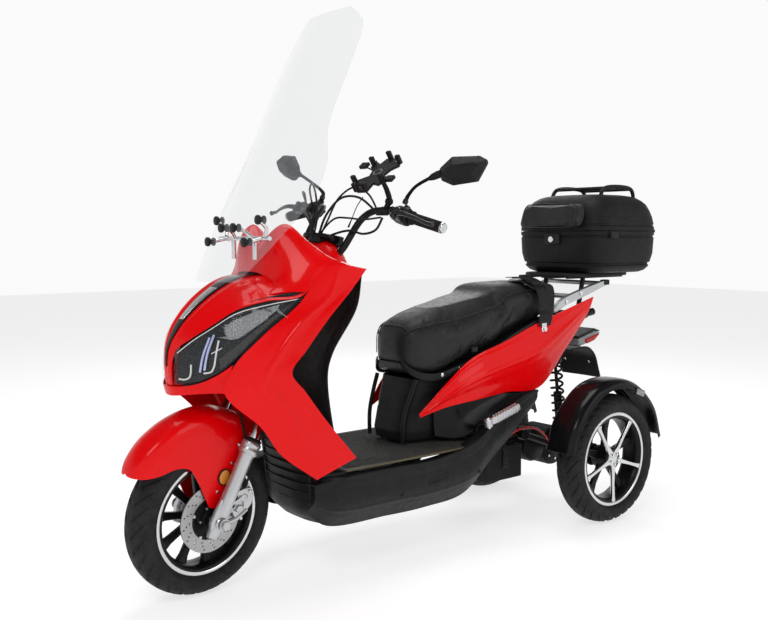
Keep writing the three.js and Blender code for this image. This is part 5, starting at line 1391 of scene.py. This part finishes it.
def top_box():
    base_z = [(RACK_TOP + 0.4, -96, -86), (RACK_TOP + 8, -60, -56), (RACK_TOP + 22, -36, -30),
              (905, -33, -28), (908, -40, -35),
              (914, -40, -35), (917, -26, -22), (950, -8, -8), (1010, -2, -2), (1014, -8, -8), (1018, -8, -8),
              (1021, 0, 0), (1034, 0, 0)]
    outer = [box_ring(z, BOX_WIDTH + w, BOX_LENGTH + l) for z, w, l in base_z]
    inner = [box_ring(1034, BOX_WIDTH, BOX_LENGTH, 4)] + [box_ring(z, BOX_WIDTH + w, BOX_LENGTH + l, 6) for z,
                                                          w, l in base_z[::-1][5:-1]] + \
        [box_ring(RACK_TOP + 5, BOX_WIDTH - 60, BOX_LENGTH - 56, 8)]
    make("top_box_base", loft(outer + inner), CASE, "chassis", "top_box_base", bevel=1,
         angle=30)
    seal = loft([box_ring(z, BOX_WIDTH, BOX_LENGTH, inset) for z,
                 inset in ((1030, 7), (1036.4, 7), (1036.4, 10), (1030, 10), (1030, 7))],
                caps=False)
    make("top_box_seal", seal, CABLE, "chassis")
    lid_z = [(1037, 0, 0), (1052, -1, -2), (1055, -8, -9), (1060, -8, -9), (1063, -4, -5), (1090, -14, -16),
             (1116, -32, -34), (1138, -54, -58),
             (1152, -82, -86), (1163, -116, -118), (1170, -160, -160), (1174, -210, -210)]
    shell = [box_ring(z, BOX_WIDTH + w, BOX_LENGTH + l) for z, w,
             l in lid_z] + [box_ring(1175.5, BOX_WIDTH - 300, BOX_LENGTH - 300)]
    hollow = [box_ring(z - 4, BOX_WIDTH + w, BOX_LENGTH + l, 5) for z, w,
              l in lid_z[::-1][:-1]] + [box_ring(1037, BOX_WIDTH, BOX_LENGTH, 4)]
    lid = loft(shell, caps=False)[0]
    inside = loft(hollow, caps=False)[0]
    top = loft([shell[-1], superellipse(at_rear(0, BOX_MIDDLE_Y, 1176), 1, 1, (1, 0, 0), (0, 1, 0), 128, 5)],
               caps=False)
    under = loft([hollow[0], superellipse(at_rear(0, BOX_MIDDLE_Y, 1170), 1, 1, (1, 0, 0), (0, 1, 0), 128,
                                          5)], caps=False)
    lip = loft([shell[0], hollow[-1]], caps=False)
    rail_x, y0, y1, z = 118, BOX_MIDDLE_Y - 50, BOX_MIDDLE_Y + 120, 1200
    loop = tube([at_rear(rail_x, y0 - 26, 1152), at_rear(rail_x, y0 - 10, 1186), at_rear(rail_x, y0 + 12, z),
                 at_rear(rail_x, y1 - 12, z),
                 at_rear(rail_x, y1 + 6, 1186), at_rear(rail_x, y1 + 14, 1148)], 7.5, 60, 18)
    cross = [p for y in (y0, y1 - 8) for p in rod(at_rear(-rail_x, y, z - 2), at_rear(rail_x, y, z - 2), 6.5)]
    feet = both_sides(block((26, 30, 14), at_rear(rail_x, y0 - 26, 1154)) + block((26, 30, 14),
        at_rear(rail_x, y1 + 14, 1148)))
    ridge = [p for s in (1, -1) for p in tube([at_rear(s * (BOX_WIDTH / 2 - 12), BOX_MIDDLE_Y - 120, 1088),
                                               at_rear(s * (BOX_WIDTH / 2 - 7), BOX_MIDDLE_Y, 1082),
                                               at_rear(s * (BOX_WIDTH / 2 - 11), BOX_MIDDLE_Y + 110, 1076)],
                                              (3, 6, 3), 50, 12)]
    make("top_box_lid", [lid, inside] + top + under + lip + ridge, CASE, "top_box_lid",
         "top_box_lid", bevel=0.8, angle=30)
    make("top_box_roof_rail", both_sides(loop) + cross + feet, CONTROL, "top_box_lid",
         bevel=1.5, angle=50)
    hinge = moved(knob(6, -60, 60, "X", 1, 24),
                  Matrix.Translation(at_rear(0, BOX_MIDDLE_Y + 0.5 * BOX_LENGTH + 2, BOX_SEAM_Z)))
    for x in (-110, 110):
        make("top_box_hinge_" + ("left" if x > 0 else "right"), moved(hinge, Matrix.Translation((x, 0, 0))),
             CONTROL, "chassis")
    front_y = BOX_MIDDLE_Y - 0.5 * BOX_LENGTH
    latch = block((70, 12, 44), at_rear(0, front_y - 3, 1006))
    lock = moved(turned([(0.1, -12), (11, -12), (12, -10), (12, 0), (4, 0), (4, -9), (0.1, -9)], 36, "Y"),
                 Matrix.Translation(at_rear(0, front_y - 3, 1004)))
    side_latch = both_sides(block((10, 44, 26), at_rear(0.5 * BOX_WIDTH + 1, BOX_MIDDLE_Y - 110, 1022)))
    make("top_box_latch", latch + side_latch, CONTROL, "chassis", bevel=4)
    make("top_box_lock", lock, POLISHED, "chassis")


def tail_lamp():
    outline = [(60, 640), (150, 664), (196, 650), (150, 618), (72, 604)]
    at = lambda pts: [(REAR_Y + y, z) for y, z in pts]
    body = plate([at(outline)], 240, in_side_plane(0))
    make("tail_lamp", body, DIFFUSER, "chassis", "tail_lamp", bevel=6, angle=40)
    clear = plate([at([(98, 628), (150, 640), (184, 646), (152, 622), (110, 612)])], 252, in_side_plane(0))
    make("tail_lamp_red", clear, RED_LENS, "chassis", bevel=3, angle=40)
    cap = plate([at([(56, 642), (150, 668), (190, 656), (150, 655), (60, 632)])], 250, in_side_plane(0))
    make("tail_lamp_cap", cap, CONTROL, "chassis", bevel=3, angle=40)


def plate_bracket():
    def row(y, z):
        return [at_rear(92, y, z), at_rear(46, y + 3, z), at_rear(0, y + 4, z), at_rear(-46, y + 3, z),
                at_rear(-92, y, z)]
    rows = [row(60, 588), row(150, 590), row(190, 560), row(214, 506), row(230, 470)]
    frame_edge = both_sides(tube([at_rear(92, 60, 588), at_rear(93, 150, 590), at_rear(93, 190, 560),
                                  at_rear(92, 214, 506), at_rear(90, 230, 470)], 5, 50, 12))
    make("plate_bracket", surface(rows, 60, 24) + frame_edge, CONTROL, "chassis",
         "plate_bracket", thick=4, bevel=1, angle=60)
    screw = moved(knob(6, -4, 5, "Y", 1.4, 24), Matrix.Translation(at_rear(60, 206, 530)))
    make("plate_screws", both_sides(screw), CHROME, "chassis")
    lamp = block((56, 22, 16), at_rear(0, 182, 590))
    make("plate_lamp", lamp, CONTROL, "chassis", bevel=4)


# ---------- seat ----------
SEAT_PROFILE = [(-758, 48, 686, 618), (-746, 78, 714, 590), (-718, 104, 738, 568), (-660, 128, 756, 558),
                (-560, 150, 768, 584),
                (-460, 160, SEAT_Z - 2, 618), (-386, 163, SEAT_Z + 14, 646), (-340, 162, SEAT_Z + 42, 666),
                (-240, 158, SEAT_Z + 56, 700), (-160, 150, SEAT_Z + 50, 724), (-124, 128, SEAT_Z + 30, 742)]


def seat_rings(shrink=0.0, along=90, around=72):
    profile = smooth(SEAT_PROFILE, along)
    rings = []
    for y, half, top, bottom in profile:
        angles = (np.arange(around) + 0.5) * 2 * pi / around
        c, s = np.cos(angles), np.sin(angles)
        x = (half - shrink) * np.sign(c) * np.abs(c) ** 0.5
        power = np.where(s > 0, 0.7, 0.3)
        z = 0.5 * (top + bottom) + (0.5 * (top - bottom) - shrink) * np.sign(s) * np.abs(s) ** power
        rings.append(np.stack([x, np.full(around, REAR_Y + y), z], -1))
    return np.array(rings)


def seat():
    rings = seat_rings(5)
    cushion = make("seat_cushion", loft(rings), SEAT, "seat", "seat_cushion", angle=180)
    puff(cushion, pressure=4, cap=0.022)
    outer = seat_rings(2.5)
    seam_lines = []
    # the long piping along each upper edge, and the cross seams at the nose and at the step
    for side in (1, -1):
        index = 8 if side > 0 else 27
        seam_lines += tube(outer[6:88, index] + np.array((0, 0, 0.5)), 1.8, 160, 8)
    for ring in (13, 58):
        arc = outer[ring, 0:37] + np.array((0, 0, 1.0))
        seam_lines += tube(arc, 1.6, 90, 8)
    make("seat_piping", seam_lines, SEAT, "seat", angle=180)
    stitches = []
    for side in (1, -1):
        index = 7 if side > 0 else 28
        path = smooth(outer[6:88, index] + np.array((0, 0, 0.6)), 170)
        for k in range(2, 168, 2):
            stitches += tube([path[k], 0.5 * (path[k] + path[k + 1]) + (0, 0, 0.4), path[k + 1]], 0.7, 2, 6)
    make("seat_stitches", stitches, STRAP, "seat", angle=180)
    pan_levels = [(y, half, bottom) for y, half, _, bottom in smooth(SEAT_PROFILE, 60)][3:-2]
    pan = []
    for side in (1, -1):
        edge = [(side * (half - 1), REAR_Y + y, bottom + 1) for y, half, bottom in pan_levels]
        pan += ribbon(edge, 12, 5, (0, 0, 1), 120)
    floor = surface([[(s * (half - 4), REAR_Y + y, bottom + 2) for s in (1, 0.5, 0, -0.5, -1)] for y, half,
                     bottom in pan_levels[::4]], 60, 12)
    make("seat_pan", pan + floor, CONTROL, "seat", thick=2, bevel=0.6, angle=50)
    screws = []
    for y in (-640, -575):
        bottom = float(np.interp(y, [p[0] for p in SEAT_PROFILE], [p[3] for p in SEAT_PROFILE]))
        half = float(np.interp(y, [p[0] for p in SEAT_PROFILE], [p[1] for p in SEAT_PROFILE]))
        screws += moved(turned([(0.1, 6), (3, 6), (3.4, 5), (7, 4), (8, 2), (8, -2), (0.1, -2)], 24),
                        Matrix.Translation(at_rear(half + 2, y, bottom + 2)))
    make("seat_screws", both_sides(screws), POLISHED, "seat")
    tab = block((8, 26, 18), at_rear(150, -508, 640))
    make("seat_catch_tab", both_sides(tab), LAMP_HOUSING, "seat", bevel=2)


def puff(obj, pressure, cap):
    """Swells a closed piece with the cloth solver and keeps the result within cap of its first shape."""
    scene = bpy.context.scene
    work = obj.copy()
    work.data = obj.data.copy()
    work.name = obj.name + "_swell"
    scene.collection.objects.link(work)
    remesh = work.modifiers.new("voxels", "REMESH")
    remesh.mode, remesh.voxel_size = "VOXEL", 0.006
    bpy.context.view_layer.objects.active = work
    for other in bpy.context.selected_objects:
        other.select_set(False)
    work.select_set(True)
    bpy.ops.object.modifier_apply(modifier="voxels")
    start = np.array([v.co for v in work.data.vertices])
    cloth = work.modifiers.new("swell", "CLOTH")
    cloth.settings.use_pressure = True
    cloth.settings.uniform_pressure_force = pressure
    cloth.settings.effector_weights.gravity = 0
    cloth.settings.quality = 5
    cloth.point_cache.frame_start, cloth.point_cache.frame_end = 1, 20
    for step in range(1, 21):
        scene.frame_set(step)
    shaped = work.evaluated_get(bpy.context.evaluated_depsgraph_get()).to_mesh()
    swollen = np.array([v.co for v in shaped.vertices])
    work.evaluated_get(bpy.context.evaluated_depsgraph_get()).to_mesh_clear()
    work.modifiers.clear()
    move = swollen - start
    length = np.linalg.norm(move, axis=1, keepdims=True)
    move *= np.minimum(1, cap / np.maximum(length, 1e-9))
    work.data.vertices.foreach_set("co", (start + move).ravel())
    work.data.update()
    scene.frame_set(1)
    mesh = work.data
    bpy.data.objects.remove(work)
    old = obj.data
    obj.data = mesh
    mesh.materials.clear()
    mesh.materials.append(old.materials[0])
    mesh.shade_smooth()
    fine = obj.modifiers.new("surface", "SUBSURF")
    fine.levels = fine.render_levels = 1


def seat_strap():
    top = SEAT_Z + 58
    half = [(170, 700), (171, 770), (150, top - 16), (80, top + 1), (0, top + 3)]
    hoop = half + [(-x, z) for x, z in half[:-1][::-1]]
    band = ribbon([at_rear(x, -190, z) for x, z in hoop], 24, 3.4, (0, 1, 0), 120)
    second = ribbon([at_rear(171, -176, 700), at_rear(172, -160, 766), at_rear(154, -146, top - 14),
                     at_rear(110, -140, top - 2), at_rear(60, -150, top + 5)],
                    20, 3, (0.1, 1, 0.1), 70)
    make("seat_strap", band + second, STRAP, "seat", "seat_strap", bevel=0.5, angle=60)
    fold = []
    for k, (y, dz) in enumerate(((-214, 6), (-196, 11), (-178, 15), (-206, 18))):
        fold += ribbon([at_rear(150, y, top - 20 + dz), at_rear(112, y - 6, top + dz),
                        at_rear(70, y + 4, top + 4 + dz), at_rear(30, y - 3 * k, top + 2 + dz)],
                       20, 3, (0.1 * (k - 1), 1, 0), 50)
    make("strap_bundle", fold, STRAP, "seat", bevel=0.5, angle=60)
    at = Matrix.Translation(at_rear(116, -206, top + 16)) @ Matrix.Rotation(0.35, 4, "Y")
    buckle = plate([[(-34, -22), (34, -22), (38, -12), (38, 12), (34, 22), (-34, 22)],
                    [(14, -15), (24, -15), (24, 15), (14, 15)],
                    [(-24, -15), (-16, -15), (-16, 15), (-24, 15)]], 10, lambda u, v, d: (u, v, d))
    make("strap_buckle", moved(buckle, at), CONTROL, "seat", bevel=2)
    anchor = block((5, 24, 30), at_rear(172, -190, 696)) + moved(knob(9, 0, 8, "X", 2, 6),
        Matrix.Translation(at_rear(174, -190, 690)))
    make("strap_anchors", both_sides(anchor), CHROME, "seat", bevel=1.4)


def footpegs():
    for side, hand in ((1, "left"), (-1, "right")):
        space = BODY @ Matrix.Translation((side * (PEG_X + 4), REAR_Y - 520,
                                           PEG_Z + 2)) @ Matrix.Rotation(0.26, 4, "X")
        bar = loft([superellipse((0, y, 0), a, b, (1, 0, 0), (0, 0, 1), 32, 4)
                    for y, a, b in ((12, 7, 8), (18, 9, 11), (30, 9.5, 12), (140, 9.5, 12), (146, 8.5, 11),
                                    (148, 6, 8))])
        teeth = [p for k in range(9) for s in (1, -1) for p in block((4, 8, 4), (s * 7.5, 34 + 13 * k, 12))]
        grooves = [p for k in range(8) for p in loft([superellipse((0, 38 + 13 * k + d, 0), 11.2, 13.4,
            (1, 0, 0), (0, 0, 1), 32, 4) for d in (-2, 2)])]
        knuckle = turned([(0.1, -14), (10, -14), (13, -12), (13, 12), (10, 14), (0.1, 14)], 36, "Z")
        neck = block((14, 24, 18), (0, 14, 0))
        make("footpeg_" + hand, bar + teeth + grooves + knuckle + neck, ALLOY, "footpeg_" + hand,
             "footpeg_" + hand, space,
             bevel=0.8, angle=35)
        pin = turned([(0.1, -19), (5, -19), (6, -17), (6, 17), (5, 19), (0.1, 19)], 24, "Z")
        make("footpeg_pin_" + hand, pin, CHROME, "footpeg_" + hand, space=space)


# ---------- rear axle, shocks, wheels and mudguards ----------
def rear_axle():
    reach = REAR_TRACK / 2 - RIM_HALF - 12
    z = AXLE_Z
    tube_ = rod(at_rear(-reach, 0, z), at_rear(reach, 0, z), 24, 40) + rod(at_rear(-reach - 62, 0, z),
        at_rear(reach + 62, 0, z), 10.6, 32)
    ribs = turned([(0.1, -62), (60, -62),
                   (72, -56)] + [(74 - 3 * (k % 2), -54 + 4 * k) for k in range(28)] + [(72, 58), (60, 66),
                       (0.1, 66)], 72)
    casing = moved(ribs, Matrix.Translation(at_rear(0, 0, z)))
    motor = moved(turned([(0.1, -20), (54, -20),
                          (60, -15)] + [(62 - 2.5 * (k % 2), -12 + 3.6 * k) for k in range(20)] + [(58, 62),
                              (50, 66), (0.1, 66)], 64),
                  Matrix.Translation(at_rear(0, -108, 244)))
    arm = rod(at_rear(86, *SWING_PIVOT), at_rear(86, 0, z), 13, 28)
    bush = moved(turned([(10, -14), (18, -14), (20, -12), (20, 12), (18, 14), (10, 14)], 40),
                 Matrix.Translation(at_rear(86, *SWING_PIVOT)))
    seats = block((42, 42, 46), at_rear(118, -24, 268))
    flange = moved(knob(40, reach - 8, reach, "X", 2, 48), Matrix.Translation(at_rear(0, 0, z)))
    make("rear_axle_housing", tube_ + casing + motor + both_sides(arm + bush + seats + flange), FRAME_PAINT,
         "rear_axle",
         "rear_axle_housing", bevel=2, angle=35)
    bolts = moved(spin(moved(knob(5, 60, 70, "X", 1, 6), Matrix.Translation((0, 0, 48))), 8),
                  Matrix.Translation(at_rear(0, 0, z)))
    make("axle_casing_bolts", bolts, CHROME, "rear_axle")
    cable = tube([at_rear(96, -60, 250), at_rear(112, -120, 300), at_rear(120, -190, 330),
                  at_rear(118, -260, 330), at_rear(112, -330, 300)], 4, 50, 12)
    make("motor_cable", cable, RED_LENS, "chassis")


def shocks():
    for side, hand in ((1, "left"), (-1, "right")):
        low, high = Vector(at_rear(side * 118, -30, 296)), Vector(at_rear(side * 118, -72, 614))
        axis = (high - low).normalized()
        across = Vector((1, 0, 0))
        other = axis.cross(across).normalized()
        length = (high - low).length
        turns, steps = 8, 260
        coil = []
        for k in range(steps + 1):
            angle = 2 * pi * turns * k / steps
            round_it = 21.5 * (cos(angle) * across + sin(angle) * other)
            coil.append(low + axis * (34 + (length - 92) * k / steps) + round_it)
        spring = tube([tuple(c) for c in coil], 4.4, steps, 10, straight=True)
        space = BODY @ Matrix.Translation(low) @ Matrix(((across.x, other.x, axis.x, 0),
                                                         (across.y, other.y, axis.y, 0),
                                                         (across.z, other.z, axis.z, 0), (0, 0, 0, 1)))
        body = turned([(0.1, 0), (17, 0), (18, 3), (18, 20), (26, 24), (26, 28), (15, 30), (15, 150),
                       (6, 152), (6, length - 60), (20, length - 58),
                       (25, length - 54), (25, length - 48), (16, length - 44), (14, length - 20),
                       (0.1, length - 20)], 48, "Z")
        bend = ("chassis", "rear_axle", tuple(BODY @ high), tuple(BODY @ low))
        make("shock_" + hand, body, FRAME_PAINT, bend, "shock_" + hand, space)
        make("shock_spring_" + hand, spring, GLOSS_BLACK, bend, angle=80)
        eye = moved(turned([(7, -12), (14, -12), (16, -10), (16, 10), (14, 12), (7, 12)], 40),
                    Matrix.Translation(high))
        foot = moved(turned([(7, -12), (13, -12), (15, -10), (15, 10), (13, 12), (7, 12)], 40),
                     Matrix.Translation(low))
        make("shock_eyes_" + hand, eye + foot, CONTROL, bend)


def rear_wheels():
    for side, hand in ((1, "left"), (-1, "right")):
        space, body = rear_hub(side), "rear_wheel_" + hand
        tyre("rear_tyre_" + hand, space, body, turn=side)
        make("rear_rim_lips_" + hand, rim_lip(1) + rim_lip(-1), POLISHED, body, space=space)
        dark = spoke([(30, -side * 8, 8, 16), (60, -side * 8, 7, 13), (100, -side * 6, 7, 12),
                      (134, -side * 2, 9, 15), (146, 0, 10, 20)])
        hub = turned([(12.5, -36), (36, -36), (40, -32), (40, 30), (36, 34), (12.5, 36)], 64)
        make("rear_rim_" + hand, barrel() + spin(dark, 5) + hub, RIM_BLACK, body,
             "rear_rim_" + hand, space,
             bevel=1.2, angle=40)
        bright = spoke([(20, side * 30, 7, 13), (44, side * 31, 7, 8.5), (90, side * 32, 6, 6),
                        (128, side * 34, 6, 6.5),
                        (148, side * 35, 6, 9), (155, side * 36, 4, 12)])
        centre = moved(turned([(0.1, 42), (11, 42), (14, 40), (22, 39), (27, 36), (30, 30), (30, 24),
                               (0.1, 24)], 64), Matrix.Scale(side, 4, (1, 0, 0)))
        ring = turned([(146, side * 34), (152, side * 39), (157, side * 40), (158, side * 36),
                       (150, side * 32)], 120)
        make("rear_star_" + hand, spin(bright, 5, start=pi / 5) + centre + ring, POLISHED, body,
             space=space, bevel=1.6, angle=35)
        nuts = spin(moved(knob(5, side * 30, side * 44, "X", 1.2, 6), Matrix.Translation((0, 0, 20))), 5,
                    start=pi / 5)
        make("rear_wheel_nuts_" + hand, nuts, CHROME, body, space=space)


def mudguards():
    inner, outer = REAR_TRACK / 2 - TYRE_HALF - 8, REAR_TRACK / 2 + TYRE_HALF + 8

    def row(degrees, radius):
        a = radians(degrees)
        at = lambda x, r: at_rear(x, r * cos(a), AXLE_Z + r * sin(a))
        return [at(inner, radius - 26), at(inner + 3, radius - 8), at(inner + 14, radius + 1),
                at(0.5 * (inner + outer), radius + 5),
                at(outer - 16, radius + 1), at(outer - 3, radius - 10), at(outer, radius - 26)]
    rows = [row(12, 264), row(40, 272), row(75, 282), row(110, 284), row(145, 274), row(168, 266)]
    grid = fine_grid(rows, 110, 54)
    stay = rod(at_rear(inner - 8, 0, AXLE_Z + 30), at_rear(inner + 4, 0, AXLE_Z + 262), 7)
    edge = tube(grid[:, -1], 2.4, 110, 10) + tube(grid[:, 0], 2.4, 110, 10)
    for flip, hand in ((lambda p: p, "left"), (mirrored, "right")):
        make("mudguard_" + hand, flip(sheet_of(grid)), GLOSS_BLACK, "rear_axle",
             "mudguard_" + hand, thick=3, bevel=1, angle=60)
        make("mudguard_edge_" + hand, flip(edge + stay), GLOSS_BLACK, "rear_axle", angle=60)
        spot = at_rear(outer + 1, 268 * cos(radians(66)), AXLE_Z + 252 * sin(radians(66)))
        back = block((7, 52, 26), spot, Matrix.Rotation(radians(-20), 4, "X"))
        face = block((4, 46, 20), (spot[0] + 3.5, spot[1], spot[2]), Matrix.Rotation(radians(-20), 4, "X"))
        make("mudguard_reflector_rim_" + hand, flip(back), CONTROL, "rear_axle", bevel=2)
        make("mudguard_reflector_" + hand, flip(face), DIFFUSER, "rear_axle", bevel=1.6)


# ---------- put it together ----------
for build in (front_wheel, fork, front_fender, handlebar, controls, phone_cradle, headlights, nose,
              side_fairings, dash,
              leg_shield, grille, belly, floor_mat, windscreen, main_frame, battery, seat_box, tail_panels,
              grab_rail,
              rack_plate, top_box, tail_lamp, plate_bracket, seat, seat_strap, footpegs, rear_axle, shocks,
              rear_wheels,
              mudguards):
    build()
mirror(1, "left")
mirror(-1, "right")


def top_box_pad():
    levels = [(1048, 268, 22), (1054, 296, 30), (1064, 310, 33), (1084, 312, 34), (1106, 310, 33),
              (1124, 300, 31), (1134, 284, 25), (1138, 268, 16)]
    pad_front = BOX_MIDDLE_Y - 0.5 * BOX_LENGTH - 26
    rings = [superellipse(at_rear(0, pad_front + 0.3 * (z - 1050) + 4, z), 0.5 * w - 3, 0.5 * t - 2,
                          (1, 0, 0), (0, 1, 0), 96, 4)
             for z, w, t in smooth(levels, 30)]
    pad = make("top_box_pad", loft(rings), SEAT, "top_box_lid", "top_box_pad", angle=180)
    puff(pad, pressure=4, cap=0.006)
    line = [superellipse(at_rear(0, pad_front + 0.3 * (z - 1050) - 3, z), 0.5 * w - 1, 0.5 * t, (1, 0, 0),
                         (0, 1, 0), 96, 4)
            for z, w, t in smooth(levels, 30)]
    loop = np.array([line[k][60] for k in range(2, 29)] + [line[k][84] for k in range(28, 1, -1)])
    make("top_box_pad_piping", tube(np.vstack([loop, loop[:1]]), 1.8, 160, 8), SEAT, "top_box_lid",
         angle=180)


top_box_pad()


# ---------- stage, lights and camera ----------
def stage():
    size, drop = 14.0, -0.0012
    mesh = bpy.data.meshes.new("floor")
    mesh.from_pydata([(x * size, y * size, drop) for x, y in ((-1, -1), (1, -1), (1, 1), (-1, 1))], [],
                     [(0, 1, 2, 3)])
    floor = bpy.data.objects.new("floor", mesh)
    bpy.context.scene.collection.objects.link(floor)
    mesh.materials.append(material("floor_white", (0.5, 0.5, 0.5), 0.9, Emission_Color=(1, 1, 1, 1),
                                   Emission_Strength=0.66))
    world = bpy.data.worlds.new("studio")
    world.use_nodes = True
    nodes, links = world.node_tree.nodes, world.node_tree.links
    nodes["Background"].inputs["Color"].default_value = (1, 1, 1, 1)
    sky = nodes.new("ShaderNodeTexCoord").outputs["Generated"]
    height = nodes.new("ShaderNodeSeparateXYZ")
    links.new(sky, height.inputs["Vector"])
    ramp = nodes.new("ShaderNodeMapRange")
    ramp.interpolation_type = "SMOOTHSTEP"
    ramp.inputs["From Min"].default_value, ramp.inputs["From Max"].default_value = 0.25, 0.6
    ramp.inputs["To Min"].default_value, ramp.inputs["To Max"].default_value = 0.96, 0.18
    links.new(height.outputs["Z"], ramp.inputs["Value"])
    links.new(ramp.outputs["Result"], nodes["Background"].inputs["Strength"])
    bpy.context.scene.world = world
    for name, place, power, width in (("key", (2.6, -3.4, 4.2), 70, 2.2), ("fill", (4.2, 1.8, 2.6), 30, 2.6),
                                      ("top", (-0.6, 0.2, 4.6), 75, 2.6), ("rim", (-3.2, 2.6, 3.0), 35, 2.2)):
        data = bpy.data.lights.new(name, "AREA")
        data.energy, data.size, data.shape = power, width, "DISK"
        lamp = bpy.data.objects.new(name, data)
        lamp.location = place
        aim = Vector((0, 0, 0.7)) - Vector(place)
        lamp.rotation_euler = aim.to_track_quat("-Z", "Y").to_euler()
        bpy.context.scene.collection.objects.link(lamp)
    view = bpy.context.scene.view_settings
    view.view_transform = "Standard"
    view.exposure = 0.0


def camera():
    data = bpy.data.cameras.new("camera")
    data.lens, data.sensor_width = 43.29, 36
    holder = bpy.data.objects.new("camera", data)
    holder.location = (2.3422, -1.9329 + SHIFT_Y / 1000, 1.0179)
    holder.rotation_euler = (pi / 2 - 0.08031, 0, 0.89333)
    bpy.context.scene.collection.objects.link(holder)
    bpy.context.scene.camera = holder


stage()
camera()
